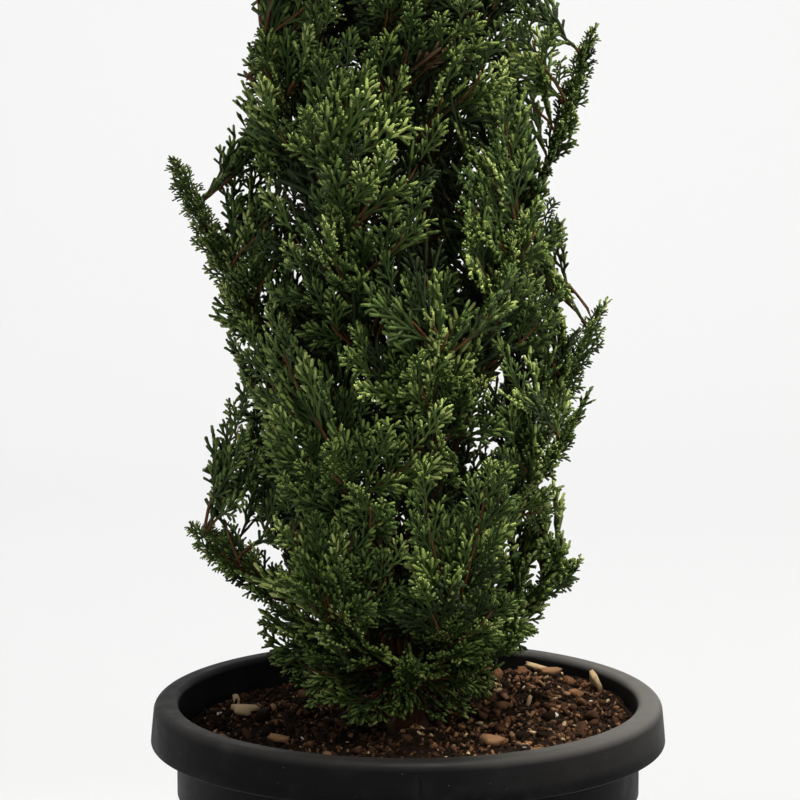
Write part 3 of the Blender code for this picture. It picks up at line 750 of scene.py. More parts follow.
def heading(azimuth, rise=0.0):
    """Where an azimuth points, with a rise."""
    return Vector((math.cos(azimuth), math.sin(azimuth), rise))


def trunk_centre(z):
    """The trunk's axis at height z: it leans a little and bows to the right."""
    share = max(0.0, z - SOIL_Z) / (CROWN_TOP - SOIL_Z)
    bow = TRUNK_BOW * math.sin(math.pi * share**BOW_LOWER) ** 2
    return Vector((bow + TRUNK_LEAN * share, TRUNK_SWAY * math.sin(math.tau * share) * share, z))


def trunk_radius(z):
    share = min(1.0, max(0.0, (z - TRUNK_FOOT) / (TRUNK_TOP - TRUNK_FOOT)))
    taper = TRUNK_RADIUS + (TRUNK_TOP_RADIUS - TRUNK_RADIUS) * share
    flare = (FLARE_RADIUS - TRUNK_RADIUS) * math.exp(-FLARE_FALL * (z - TRUNK_FOOT) / FLARE_HEIGHT)
    return taper + flare


def crown_reach(height):
    """How far the crown's tips reach from the axis, at a height above the mix."""
    return float(np.interp(height, CROWN_HEIGHTS, CROWN_REACHES))


class Limb:
    """One limb, from the trunk's axis to its last tip."""

    def __init__(self, azimuth, tip_height, reach):
        self.name = ""
        self.start = BOUGH_END
        self.reach = reach
        rise = min(LONGEST_RISE, RISE_SLOPE * tip_height + RISE_START)
        rise = min(rise, REACH_RISE * reach + LEAST_RISE)
        out = self.out = heading(azimuth)
        foot = trunk_centre(SOIL_Z + tip_height - rise)
        tip = Vector((CROWN_CENTRE_X, 0.0, SOIL_Z + tip_height)) + reach * out
        span = tip - foot - Vector((0.0, 0.0, rise))
        bends = [foot + across * span + up * rise * UP for across, up in LIMB_BENDS]
        self.corners = (foot, *bends, tip)
        share = min(1.0, tip_height / HIGHEST_TIP)
        self.radius = BOUGH_RADIUS + (BOUGH_TOP_RADIUS - BOUGH_RADIUS) * share
        self.take_samples()

    def take_samples(self):
        self.samples = [self.point(i / LIMB_SAMPLES) for i in range(LIMB_SAMPLES + 1)]

    def point(self, t):
        a, b, c, d = self.corners
        s = 1 - t
        return s * s * s * a + 3 * s * s * t * b + 3 * s * t * t * c + t * t * t * d

    def direction(self, t):
        step = 0.01
        return (self.point(min(1.0, t + step)) - self.point(max(0.0, t - step))).normalized()

    def thickness(self, t):
        """The wood's radius at t, from the bough's foot to the stem's tip."""
        if t <= BOUGH_END:
            return self.radius * (1 + (BOUGH_END_SHARE - 1) * t / BOUGH_END)
        along = min(1.0, (t - BOUGH_END) / (STEM_END - BOUGH_END))
        start = self.radius * BOUGH_END_SHARE
        return start + (STEM_TIP_RADIUS - start) * along


def leader():
    """The leader is the trunk's own line, carried on to the crown's top."""
    made = Limb(0.0, CROWN_TOP - SOIL_Z, 0.02)
    made.name = "leader"
    made.start = 0.0
    foot = trunk_centre(TRUNK_TOP)
    tip = Vector((trunk_centre(CROWN_TOP).x + TRUNK_LEAN, 0.0, CROWN_TOP))
    bend = Vector((-LEADER_BEND, LEADER_BEND, 0.0))
    made.corners = (foot, foot.lerp(tip, 1 / 3), foot.lerp(tip, 2 / 3) + bend, tip)
    made.radius = TRUNK_TOP_RADIUS
    made.take_samples()
    return made


def gap_between(one, other):
    """The least distance between two limbs' outer stretches, weighed so that feet may stand closer."""
    least = math.inf
    last = LIMB_SAMPLES - OUTER_FROM
    for i, p in enumerate(one.samples[OUTER_FROM:]):
        for j, q in enumerate(other.samples[OUTER_FROM:]):
            weight = FOOT_WEIGHT + (1 - FOOT_WEIGHT) * max(i, j) / last
            least = min(least, (p - q).length * weight)
    return least


def tip_heights():
    """Heights that give each limb an equal share of the crown's side."""
    heights = np.linspace(LOWEST_TIP, HIGHEST_TIP, 400)
    area = np.cumsum([crown_reach(h) + TIP_ROOM for h in heights])
    count = LIMB_COUNT - len(SHOWN)
    wanted = (np.arange(count) + 0.5) / count * area[-1]
    return [float(h) for h in np.interp(wanted, area, heights)]


def make_limbs():
    """The outstanding limbs, the leader, and the others, each turned to where it has most room."""
    rng = random.Random(LIMB_SEED)
    limbs = [leader()]
    for azimuth, height, reach in SHOWN:
        limbs.append(Limb(math.radians(azimuth), height, reach))
    for height in tip_heights():
        reach = crown_reach(height) * rng.uniform(SHORTEST_SHARE, LONGEST_SHARE)
        start = rng.uniform(0, math.tau)
        tries = [Limb(start + math.tau * i / AZIMUTH_TRIES, height, reach) for i in range(AZIMUTH_TRIES)]
        limbs.append(max(tries, key=lambda limb: min(gap_between(limb, other) for other in limbs)))
    top, sides = limbs[0], limbs[1:]
    sides.sort(key=lambda limb: limb.samples[-1].z)
    for number, limb in enumerate(sides, 1):
        limb.name = f"{number:02d}"
        if number > BOUGH_COUNT:
            limb.start = 0.0
    return [*sides, top]


LIMBS = make_limbs()


# The trunk and boughs. Their relief: how fine its fibres are round a limb, how long fibres and lumps are, and
# each one's share in it.
FIBRE_FINENESS = 3.1
FIBRE_LENGTH = 26 * MM
FIBRE_SHARE = 1.4
LUMP_LENGTH = 14 * MM
LUMP_SHARE = 0.6

# How far the trunk goes on into its leader, how its rings crowd at the foot, and where a limb's wood ends.
TRUNK_TAIL = 10 * MM
RING_CROWDING = 1.15
WOOD_END = 0.88


def ring_frame(direction):
    """Two directions across a limb, the first as near to +X as it can be."""
    across = Vector((0, 1, 0)).cross(direction).normalized()
    return across, direction.cross(across)


def barked_tube(shape, points, radii, sides, relief, seed):
    """A closed limb, its end face drawn out ring by ring, with fibres standing along it."""
    directions = [(b - a).normalized() for a, b in zip(points, points[1:])]
    directions.append(directions[-1])
    first = bmesh.ops.create_circle(shape, cap_ends=True, radius=1.0, segments=sides)["verts"]
    face = first[0].link_faces[0]
    along = 0.0
    for step, (point, radius, direction) in enumerate(zip(points, radii, directions)):
        if step:
            along += (point - points[step - 1]).length
            drawn = bmesh.ops.extrude_face_region(shape, geom=[face])["geom"]
            face = next(part for part in drawn if isinstance(part, bmesh.types.BMFace))
        across, up = ring_frame(direction)
        for k, corner in enumerate(face.verts):
            x, y = math.cos(math.tau * k / sides), math.sin(math.tau * k / sides)
            fine = Vector((FIBRE_FINENESS * x, FIBRE_FINENESS * y, along / FIBRE_LENGTH + seed))
            broad = Vector((x, y, along / LUMP_LENGTH + seed + 50))
            swell = relief * (FIBRE_SHARE * noise.noise(fine) + LUMP_SHARE * noise.noise(broad))
            corner.co = point + (across * x + up * y) * radius * (1 + swell)


def make_wood(settings):
    bark = fibrous_bark(settings)
    shape = bmesh.new()
    rings = settings.trunk_rings
    climb = TRUNK_TOP + TRUNK_TAIL - TRUNK_FOOT
    heights = [TRUNK_FOOT + climb * (i / rings) ** RING_CROWDING for i in range(rings + 1)]
    points = [trunk_centre(z) for z in heights]
    barked_tube(shape, points, [trunk_radius(z) for z in heights], settings.trunk_sides, settings.relief, 0.0)
    trunk = new_piece("barked_trunk", finished(shape, "barked_trunk"), bark)
    trunk.data.shade_smooth()
    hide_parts("trunk")

    shape = bmesh.new()
    shares = [WOOD_END * i / settings.bough_rings for i in range(settings.bough_rings + 1)]
    for number, limb in enumerate(LIMBS, 1):
        points = [limb.point(t) for t in shares]
        radii = [limb.thickness(t) for t in shares]
        barked_tube(shape, points, radii, settings.bough_sides, settings.relief, 10.0 * number)
    boughs = new_piece("barked_boughs", finished(shape, "barked_boughs"), bark)
    boughs.data.shade_smooth()
    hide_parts(*[f"bough_{limb.name}" for limb in LIMBS if limb.start > 0])


# Branchlets and sprays

GOLDEN_TURN = math.radians(137.508)

# A form of spray, in millimetres and degrees: its stalk, with rings and radius, the side shoots along it and
# the tips on those, one to every few millimetres. Plain ones lie deep in the crown.
FORM_LENGTH = 32 * MM
FORM_BEND = 3.0
FORM_LIFT = (0.5, 4.0)
STALK, PLAIN_STALK = (7, 0.9), (3, 1.2)
SHOOTS = 8
SHOOTS_FROM, SHOOTS_SPAN = 0.12, 0.76
SHOOT_LENGTH = 16.5
SHOOT_ANGLE = (22, 35)
SHOOT_RAISE = (6, 24)
SHOOT_RADIUS, PLAIN_SHOOT_RADIUS = 0.88, 1.3
LONG_SHOOT = 10
TIP_PLACES = ((0.30, 1), (0.50, -1), (0.66, 1))
TIP_EVERY = 4.5
TIP_ANGLE = (24, 40)
TIP_LENGTH, TIP_GROWTH = 3.0, 0.24
TIP_RADIUS = 0.82
VARIED = (0.75, 1.2)


def cord_arrays(path, radii, turn):
    """A three-sided cord along its path, pointed at both ends, and which of its faces are its tip. Each ring
    is turned by half a side from the one before, so that the facets lap like scale leaves."""
    direction = (path[-1] - path[0]).normalized()
    across, up = ring_frame(direction)
    rings = len(path) - 2
    points = [path[0]]
    for i in range(rings):
        for k in range(3):
            angle = turn + math.pi / 3 * i + math.tau / 3 * k
            points.append(path[i + 1] + radii[i] * (across * math.cos(angle) + up * math.sin(angle)))
    points.append(path[-1])
    faces, levels = [(0, 1 + (k + 1) % 3, 1 + k) for k in range(3)], [0, 0, 0]
    for i in range(rings - 1):
        low, high = 1 + 3 * i, 4 + 3 * i
        for k in range(3):
            after = (k + 1) % 3
            faces.append((low + k, low + after, high + k))
            faces.append((high + k, low + after, high + after))
            levels += [i, i]
    last = 1 + 3 * (rings - 1)
    faces += [(last + k, last + (k + 1) % 3, len(points) - 1) for k in range(3)]
    levels += [rings] * 3
    return points, faces, [level >= max(1, rings - 2) for level in levels]


class SprayForm:
    """One pattern of spray, lying along +X in the XY plane, in millimetres until it is made: its cord, side
    shoots to either side by turns, and small shoots on those."""

    def __init__(self, seed, fine):
        self.rng = random.Random(f"spray {seed} {fine}")
        self.points, self.faces, self.tips = [], [], []
        self.fine = fine
        self.length = FORM_LENGTH / MM
        self.bend = self.rng.uniform(-FORM_BEND, FORM_BEND)
        self.lift = self.rng.uniform(*FORM_LIFT)
        curl = Vector((0.0, self.bend, self.lift))
        self.cord(Vector(), self.centre(1.0), *(STALK if fine else PLAIN_STALK), curl)
        for i in range(SHOOTS):
            self.side_shoot(SHOOTS_FROM + SHOOTS_SPAN * i / (SHOOTS - 1), (-1) ** i)
        self.points = np.array(self.points) * MM
        self.faces = np.array(self.faces)
        self.tips = np.array(self.tips)

    def centre(self, share):
        return Vector((self.length * share, self.bend * share**2, self.lift * share**2))

    def cord(self, root, end, rings, radius, curl):
        """Adds a cord that swells and narrows from scale to scale, and ends blunt."""
        shares = [0.78] if rings == 1 else [0.08 + 0.84 * i / (rings - 1) for i in range(rings)]
        path = [root, *[root.lerp(end, t) + curl * t * (t - 1) for t in shares], end]
        radii = [radius * self.rng.uniform(0.9, 1.1) * (1.12 if i % 2 else 0.86) for i in range(rings)]
        points, faces, tips = cord_arrays(path, radii, self.rng.uniform(0, math.tau))
        start = len(self.points)
        self.points += [tuple(p) for p in points]
        self.faces += [tuple(start + corner for corner in face) for face in faces]
        self.tips += tips

    def side_shoot(self, share, side):
        """Adds a shoot to one side. The middle ones are longest, and the longer ones have small tips."""
        rng = self.rng
        swell = min(1.0, 0.6 + 2.0 * share) * (1.0 - 0.62 * share)
        length = SHOOT_LENGTH * swell * rng.uniform(*VARIED)
        angle = math.radians(rng.uniform(*SHOOT_ANGLE))
        raised = math.radians(rng.gauss(*SHOOT_RAISE))
        out = math.sin(angle)
        way = Vector((math.cos(angle), side * out * math.cos(raised), math.sin(raised) * out))
        root = self.centre(share)
        end = root + way * length + Vector((0.08 * length, 0, 0.04 * length))
        if not self.fine:
            self.cord(root, end, 1, PLAIN_SHOOT_RADIUS, Vector())
            return
        curl = Vector((-0.06 * length, 0, 0))
        self.cord(root, end, 4 if length > LONG_SHOOT else 3, SHOOT_RADIUS, curl)
        for place, flip in TIP_PLACES[: int(length / TIP_EVERY)]:
            turned = Matrix.Rotation(flip * side * math.radians(rng.uniform(*TIP_ANGLE)), 3, "Z") @ way
            foot = root.lerp(end, place)
            tip = foot + turned * (TIP_LENGTH + TIP_GROWTH * length) * rng.uniform(*VARIED)
            self.cord(foot, tip, 2 if length > 8 else 1, TIP_RADIUS, Vector())


def in_bay(azimuth, height):
    """How far the outline draws in here."""
    depth = 0.0
    for bay_azimuth, bay_height, most, half_width, half_height in BAYS:
        across = math.remainder(azimuth - math.radians(bay_azimuth), math.tau) / math.radians(half_width)
        depth += most * math.exp(-(across**2) - ((height - bay_height) / half_height) ** 2)
    return depth


def crown_edge(azimuth, height):
    """The crown's own reach from its middle, with its waves and bays."""
    wave = noise.noise(Vector((1.7 * math.cos(azimuth), 1.7 * math.sin(azimuth), height / 0.045)))
    foot = FOOT_DRAW * max(0.0, 1.0 - height / FOOT_DRAW_HEIGHT)
    return crown_reach(height) + EDGE_SLACK + EDGE_WAVE * wave - in_bay(azimuth, height) - foot


def depth_inside(point, limb):
    """How deep a point lies inside the crown or inside its own limb's plume. Outside both it is negative."""
    azimuth = math.atan2(point.y, point.x - CROWN_CENTRE_X)
    away = math.hypot(point.x - CROWN_CENTRE_X, point.y)
    inside = crown_edge(azimuth, point.z - SOIL_Z) - away
    if inside < 0 and away < limb.reach + PLUME_SLACK:
        apart, nearest = min(((point - p).length, i) for i, p in enumerate(limb.samples))
        width = PLUME_RADIUS * (1 - PLUME_NARROWING * nearest / LIMB_SAMPLES)
        inside = max(inside, width - apart)
    return inside


def in_sky_gap(point):
    """True where the view from the front has to stay open."""
    for across, height, radius in SKY_GAPS:
        sight = (Vector((across, 0.0, SOIL_Z + height)) - CAMERA_PLACE).normalized()
        if (point - CAMERA_PLACE).cross(sight).length < radius:
            return True
    return False


def has_room(point, limb):
    """True if foliage may be at this point: inside the crown, above the mix and out of the open places."""
    if depth_inside(point, limb) < 0 or point.z > CROWN_TOP or in_sky_gap(point):
        return False
    return point.z > soil_height(point.x, point.y) + FOLIAGE_CLEAR


# A spray's length where it has room, and shorter where it hasn't. Its thickness follows its scale in part.
SPRAY_TRIES = (1.0, 0.75, 0.55)
THICK_BASE, THICK_GROWTH = 0.4, 0.6

# An aimed twig leaves partly for its aim and partly along its limb. Its curve's handles reach this far.
LEAVE_AIM, LEAVE_LIMB = 0.65, 0.35
HANDLE_REACH = 0.36

# Shoots and stems at the trunk's foot: their heights above the mix, and their lengths, spreads and climbs in
# millimetres. They count as grown on the lowest limbs.
FOOT_SHOOT_HEIGHTS = (0.020, 0.085)
FOOT_SHOOT_SLOPES = (-0.6, 0.3)
FOOT_SHOOT_LENGTHS = (36, 66)
FOOT_SHOOT_LIFT = -0.2
FOOT_STEM_HEIGHTS = (0.004, 0.02)
FOOT_STEM_SPREADS = (12, 34)
FOOT_STEM_CLIMBS = (70, 105)
FOOT_STEM_RADIUS = 1.5 * MM
FOOT_LIMBS = 6


class Foliage:
    """All branchlets and sprays of one group of limbs."""

    def __init__(self, settings, fine_forms, plain_forms, twigs):
        self.settings = settings
        self.forms = [*fine_forms, *plain_forms]
        self.fine_count = len(fine_forms)
        self.rows = [([], [], []) for _ in self.forms]
        self.twigs = twigs

    def spray(self, rng, limb, root, direction, normal, length):
        """Adds a spray if its tip has room, shorter where it would reach too far."""
        middle = root + direction * 0.5 * length
        rooms = (shrink for shrink in SPRAY_TRIES if has_room(root + direction * length * shrink, limb))
        shrink = next(rooms, None)
        if shrink is None or in_sky_gap(middle):
            return
            return
        deep = depth_inside(middle, limb) > DEEP
        along = rng.randrange(self.fine_count, len(self.forms)) if deep else rng.randrange(self.fine_count)
        y = normal.cross(direction).normalized()
        z = direction.cross(y)
        scale = length * shrink / FORM_LENGTH
        thick = THICK_BASE + THICK_GROWTH * scale
        turns, places, finishes = self.rows[along]
        turns.append(Matrix((direction * scale, y * thick, z * thick)).transposed())
        places.append(root)
        # Sprays deep inside the crown mostly take the painted shade finish.
        shares = INNER_SHARES if deep else OUTER_SHARES
        finishes.append(LEAF_PAIRS[rng.choices(range(len(LEAF_PAIRS)), shares)[0]])

    def branchlet(self, rng, limb, root, way, length, lift):
        """A twig that sets off along way and curves up."""
        step = length / BRANCHLET_STEPS
        path = [root]
        for _ in range(BRANCHLET_STEPS):
            way = (way + UP * lift / BRANCHLET_STEPS).normalized()
            ahead = path[-1] + way * step
            if not has_room(ahead + way * 6 * MM, limb):
                break
            path.append(ahead)
        if step * (len(path) - 1) > SHORTEST_BRANCHLET:
            self.clothe(rng, limb, path)

    def aimed(self, rng, limb, t, aim):
        """A twig from a place on the limb to an aim, which leaves along the limb and arrives climbing."""
        root = limb.point(t)
        run = aim - root
        leave = (run.normalized() * LEAVE_AIM + limb.direction(t) * LEAVE_LIMB).normalized()
        arrive = (run.normalized() + UP).normalized()
        reach = HANDLE_REACH * run.length
        path = []
        for i in range(BRANCHLET_STEPS + 1):
            u = i / BRANCHLET_STEPS
            a, b, c, d = (1 - u) ** 3, 3 * u * (1 - u) ** 2, 3 * u * u * (1 - u), u**3
            path.append(a * root + b * (root + leave * reach) + c * (aim - arrive * reach) + d * aim)
        while len(path) > 3 and not has_room(path[-1], limb):
            path.pop()
        if min(depth_inside(p, limb) for p in path[1:]) > -TWIG_SLACK:
            self.clothe(rng, limb, path)

    def clothe(
        self, rng, limb, path, bare=BARE_FOOT, step=SPRAY_STEP, spray=SPRAY_LENGTH, radius=BRANCHLET_RADIUS
    ):
        """The twig itself, with sprays to either side by turns past its bare foot, and one at its end."""
        ways = [(b - a).normalized() for a, b in zip(path, path[1:])]
        grown = sum((b - a).length for a, b in zip(path, path[1:]))
        outward = Vector((path[-1].x - CROWN_CENTRE_X, path[-1].y, 0.0)) + 0.01 * limb.out
        facing = Matrix.Rotation(rng.gauss(0, SPRAY_FACING), 3, ways[-1]) @ outward
        count = max(2, round(grown * (1 - bare) / step))
        for i in range(count):
            share = bare + (0.98 - bare) * i / count
            at = share * (len(path) - 1)
            low = min(int(at), len(path) - 2)
            foot = path[low].lerp(path[low + 1], at - low)
            along = ways[low]
            normal = -facing.cross(along).cross(along).normalized()
            side = normal.cross(along) * (-1) ** i
            angle = SPRAY_ANGLE * rng.uniform(0.75, 1.3)
            direction = (along * math.cos(angle) + side * math.sin(angle) + UP * SPRAY_LIFT).normalized()
            tilt = Matrix.Rotation(rng.gauss(0, SPRAY_TILT), 3, direction)
            size = spray * (1.2 - SPRAY_TAPER * share) * rng.uniform(0.82, 1.18)
            self.spray(rng, limb, foot, direction, tilt @ normal, size)
        normal = -facing.cross(ways[-1]).cross(ways[-1]).normalized()
        self.spray(rng, limb, path[-1], ways[-1], normal, 0.75 * spray * rng.uniform(0.8, 1.15))
        if radius:
            self.twig(path, radius, rng)

    def twig(self, path, radius, rng):
        radii = [radius * (1 - 0.6 * i / len(path)) for i in range(len(path) - 2)]
        points, faces, _ = cord_arrays(path, radii, rng.uniform(0, math.tau))
        self.twigs.add([tuple(p) for p in points], faces, [rng.choice((0, 0, 1))] * len(faces))

    def limb(self, limb):
        """Branchlets all round the limb's outer stretch, and its own end."""
        rng = random.Random(f"foliage {limb.name}")
        count = self.settings.branchlets
        turn = rng.uniform(0, math.tau)
        for i in range(count):
            share = i / (count - 1)
            t = BRANCHLET_FROM + (BRANCHLET_TO - BRANCHLET_FROM) * share
            along = limb.direction(t)
            out = (limb.out - along * limb.out.dot(along)).normalized()
            turn += GOLDEN_TURN
            side = out * math.cos(turn) + out.cross(along) * math.sin(turn)
            spread = BRANCHLET_SPREAD * (1.1 - 0.3 * share) * rng.uniform(0.8, 1.2)
            way = (along * math.cos(spread) + side * math.sin(spread)).normalized()
            length = BRANCHLET_LENGTH * (1.1 - 0.6 * share) * rng.uniform(0.8, 1.15)
            self.branchlet(rng, limb, limb.point(t), way, length, BRANCHLET_LIFT)
        line = [limb.point(PLUME_FROM + (PLUME_TO - PLUME_FROM) * i / 10) for i in range(11)]
        self.clothe(rng, limb, line, 0.0, PLUME_STEP, PLUME_LENGTH, 0.0)
        self.clothe(rng, limb, line[4:], 0.0, PLUME_STEP, PLUME_LENGTH, 0.0)

    def foot_shoots(self):
        """Low shoots off the trunk's foot that droop to the mix, and slim stems that climb beside it."""
        rng = random.Random("foot")
        for i in range(FOOT_SHOOTS):
            azimuth = GOLDEN_TURN * i
            root = trunk_centre(SOIL_Z + rng.uniform(*FOOT_SHOOT_HEIGHTS))
            way = heading(azimuth, rng.uniform(*FOOT_SHOOT_SLOPES)).normalized()
            length = rng.uniform(*FOOT_SHOOT_LENGTHS) * MM
            self.branchlet(rng, LIMBS[i % FOOT_LIMBS], root, way, length, FOOT_SHOOT_LIFT)
        for i in range(FOOT_STEMS):
            out = heading(GOLDEN_TURN * i)
            root = trunk_centre(SOIL_Z + rng.uniform(*FOOT_STEM_HEIGHTS))
            spread, climb = rng.uniform(*FOOT_STEM_SPREADS) * MM, rng.uniform(*FOOT_STEM_CLIMBS) * MM
            shares = [k / 8 for k in range(9)]
            path = [root + out * spread * math.sin(1.5 * t) + UP * climb * t**1.4 for t in shares]
            self.clothe(rng, LIMBS[i % FOOT_LIMBS], path, 0.4, radius=FOOT_STEM_RADIUS)

    def mesh(self, name):
        gathered = Gathered()
        for form, (turns, places, finishes) in zip(self.forms, self.rows):
            if not turns:
                continue
            pairs = np.array(finishes)
            dealt = np.where(form.tips[None], pairs[:, 1:2], pairs[:, 0:1])
            gathered.copies(form.points, form.faces, dealt, np.array(turns), np.array(places))
        return gathered.mesh(name)


def crown_aims(count, low, high, shallow, deep, seed):
    """Points spread evenly over the crown's side, each at its own depth inside it."""
    rng = random.Random(seed)
    heights = np.linspace(low, high, 400)
    area = np.cumsum([crown_reach(h) for h in heights])
    aims = []
    for i in range(count):
        height = float(np.interp((i + 0.5) / count * area[-1], area, heights))
        azimuth = GOLDEN_TURN * i + rng.uniform(-0.12, 0.12)
        reach = max(4 * MM, crown_edge(azimuth, height) * (1 - rng.uniform(shallow, deep)))
        x, y = CROWN_CENTRE_X + reach * math.cos(azimuth), reach * math.sin(azimuth)
        aims.append(Vector((x, y, SOIL_Z + height)))
    return aims


# Where branchlets may leave a limb, and what a run that climbs too little or is too short costs.
ROOT_FROM, ROOT_TO, ROOT_COUNT = 0.12, 0.9, 27
FLAT_COST = 0.12
SHORT_COST = 3

# The aims' heights above the mix, and their depth as shares of the crown's reach.
OUTER_AIMS = (AIM_LOW, AIM_HIGH, 0.10, 0.34, "outer")
INNER_AIMS = (0.13, 0.66, 0.45, 0.95, "inner")


class Roots:
    """Every place on a limb that a branchlet may grow from."""

    def __init__(self):
        shares = np.linspace(ROOT_FROM, ROOT_TO, ROOT_COUNT).tolist()
        self.places = [(limb, t) for limb in LIMBS for t in shares]
        self.points = np.array([limb.point(t) for limb, t in self.places])

    def nearest(self, aim):
        """The limb and place whose shoot reaches the aim by the shortest climbing run."""
        run = np.array(aim) - self.points
        far = np.linalg.norm(run, axis=1)
        flat = np.maximum(0.0, LEAST_CLIMB - run[:, 2] / far)
        short = np.maximum(0.0, LEAST_RUN - far)
        return self.places[int(np.argmin(far + FLAT_COST * flat + SHORT_COST * short))]


def make_foliage(settings):
    forms = [[SprayForm(i, fine) for i in range(settings.forms)] for fine in (True, False)]
    leaves = leaf_finishes()
    twigs = Gathered()
    size = math.ceil(len(LIMBS) / settings.groups)
    count = math.ceil(len(LIMBS) / size)
    crowns = [Foliage(settings, *forms, twigs) for _ in range(count)]
    group_of = {limb.name: crowns[number // size] for number, limb in enumerate(LIMBS)}
    for limb in LIMBS:
        group_of[limb.name].limb(limb)
    roots = Roots()
    aims = crown_aims(settings.outer_aims, *OUTER_AIMS) + crown_aims(settings.inner_aims, *INNER_AIMS)
    rng = random.Random("aims")
    for aim in aims:
        limb, t = roots.nearest(aim)
        group_of[limb.name].aimed(rng, limb, t, aim)
    crowns[0].foot_shoots()
    for number, crown in enumerate(crowns):
        name = f"sprays_{number + 1}"
        sprays = new_piece(name, crown.mesh(name), *leaves)
        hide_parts(*[f"foliage_{limb.name}" for limb in LIMBS[number * size : (number + 1) * size]])
    piece = new_piece("twigs", twigs.mesh("twigs"), *twig_finishes())


# The studio's sweep, in metres: its front edge, where its bend begins, the bend's radius, height and width.
SWEEP_FRONT, SWEEP_BACK, SWEEP_BEND, SWEEP_HIGH = -4.0, 1.6, 1.0, 4.5
SWEEP_WIDTH = 8.0
SWEEP_STEPS = 16


def make_sweep(settings):
    """A floor that curves up into a backdrop, drawn out from one strip."""
    shape = bmesh.new()
    bend = arc(SWEEP_BACK, SWEEP_BEND, SWEEP_BEND, -90, 0, SWEEP_STEPS)
    line = [(SWEEP_FRONT, 0.0), *bend, (SWEEP_BACK + SWEEP_BEND, SWEEP_HIGH)]
    corners = [shape.verts.new((-SWEEP_WIDTH / 2, y, z)) for y, z in line]
    edges = [shape.edges.new(pair) for pair in zip(corners, corners[1:])]
    drawn = bmesh.ops.extrude_edge_only(shape, edges=edges)["geom"]
    far = [part for part in drawn if isinstance(part, bmesh.types.BMVert)]
    bmesh.ops.translate(shape, verts=far, vec=(SWEEP_WIDTH, 0, 0))
    mesh = bpy.data.meshes.new("studio_sweep")
    for face in shape.faces:
        face.normal_update()
        if face.normal.z < 0 or (abs(face.normal.z) < 0.5 and face.normal.y > 0):
            face.normal_flip()
    shape.to_mesh(mesh)
    shape.free()
    mesh.shade_smooth()
    mesh.materials.append(painted_studio_sweep(settings))
    sweep = placed("studio_sweep", mesh)


def add_light(name, place, aim, size, power, colour, spread=180):
    """A square soft light at place, turned to its aim. A grid on it narrows its spread, in degrees."""
    lamp = bpy.data.lights.new(name, "AREA")
    lamp.size = size
    lamp.energy = power
    lamp.spread = math.radians(spread)
    lamp.color = srgb(colour)[:3]
    made = placed(name, lamp)
    made.location = place
    made.rotation_euler = (Vector(aim) - Vector(place)).to_track_quat("-Z", "Y").to_euler()


def make_stage(settings):
    make_sweep(settings)
    camera = bpy.data.cameras.new("camera")
    camera.sensor_width = SENSOR
    camera.lens = LENS
    made = placed("camera", camera)
    made.location = CAMERA_PLACE
    made.rotation_euler = (math.pi / 2 - CAMERA_PITCH, 0.0, 0.0)
    bpy.context.scene.camera = made
    bpy.context.scene.view_settings.view_transform = "Standard"
    add_light("key_softbox", (0.35, -0.30, 2.2), (0, -0.05, 0.45), 0.35, settings.key, "#fffaf0", 20)
    add_light("front_softbox", (1.3, -1.1, 1.9), (0, 0, 0.5), 0.8, settings.front, "#fffaf0")
    add_light("fill_softbox", (-1.5, -1.3, 1.5), (0, 0, 0.4), 1.2, settings.fill, "#f6f9ff")
    add_light("backdrop_softbox", (0, 0.75, 1.7), (0, 2.35, 0.5), 2.4, settings.back, "#ffffff", 125)
    world = bpy.data.worlds.new("studio_room")
    world.use_nodes = True
    room = world.node_tree.nodes["Background"]
    room.inputs["Color"].default_value = srgb("#f6f7f8")
    room.inputs["Strength"].default_value = settings.room
    bpy.context.scene.world = world


# The add-on


def tint(name, description, code):
    """A colour setting with an sRGB hex default."""
    return bpy.props.FloatVectorProperty(
        name=name, description=description, subtype="COLOR", size=4, min=0.0, max=1.0, default=srgb(code)
    )


def whole(name, description, default, least, most):
    """A setting that is a whole number."""
    return bpy.props.IntProperty(name=name, description=description, default=default, min=least, max=most)


def measure(name, description, default, least=0.0, most=1000.0, unit="NONE"):
    """A setting that is a measure."""
    return bpy.props.FloatProperty(
        name=name, description=description, default=default, min=least, max=most, unit=unit
    )


class PotSettings(bpy.types.PropertyGroup):
    steps: whole("Steps", "Facets round the pot", 192, 24, 360)
    seam_angle: measure("Seam Angle", "Turn of the front mould seam", math.radians(2.6), unit="ROTATION")
    roughness: measure("Roughness", "How matt the plastic is", 0.48, 0.1, 0.9)
    colour: tint("Plastic", "Colour of the moulded plastic", "#060607")
    # This colour paints the dust and specks, and also the painted sheen on the rim's upward faces at the
    # right.
    dust: tint("Dust", "Colour of dust and specks on it", "#5e5c59")


class MixSettings(bpy.types.PropertyGroup):
    steps: whole("Steps", "Facets round the surface", 200, 24, 360)
    rings: whole("Rings", "Rings from middle to edge", 84, 8, 200)
    chips: whole("Chips", "Bark chips on the surface", 1900, 0, 4000)
    crumbs: whole("Crumbs", "Small crumbs on it", 4600, 0, 9000)
    dark: tint("Peat", "Dark colour of the wet peat", "#0a0705")
    brown: tint("Bark Fines", "Brown of the fine bark", "#22170e")


class WoodSettings(bpy.types.PropertyGroup):
    trunk_sides: whole("Trunk Sides", "Facets round the trunk", 28, 8, 64)
    trunk_rings: whole("Trunk Rings", "Rings up the trunk", 170, 8, 400)
    bough_sides: whole("Bough Sides", "Facets round a bough", 9, 3, 32)
    bough_rings: whole("Bough Rings", "Rings along a bough", 44, 4, 200)
    relief: measure("Relief", "Height of the fibres, as a share of the radius", 0.13, 0.0, 0.5)
    bark: tint("Bark", "Red-brown of young bark", "#4a2e1b")
    furrow: tint("Furrows", "Dark brown between the fibres", "#1b0f09")
    weathered: tint("Weathered", "Grey-brown of old strips", "#57473a")


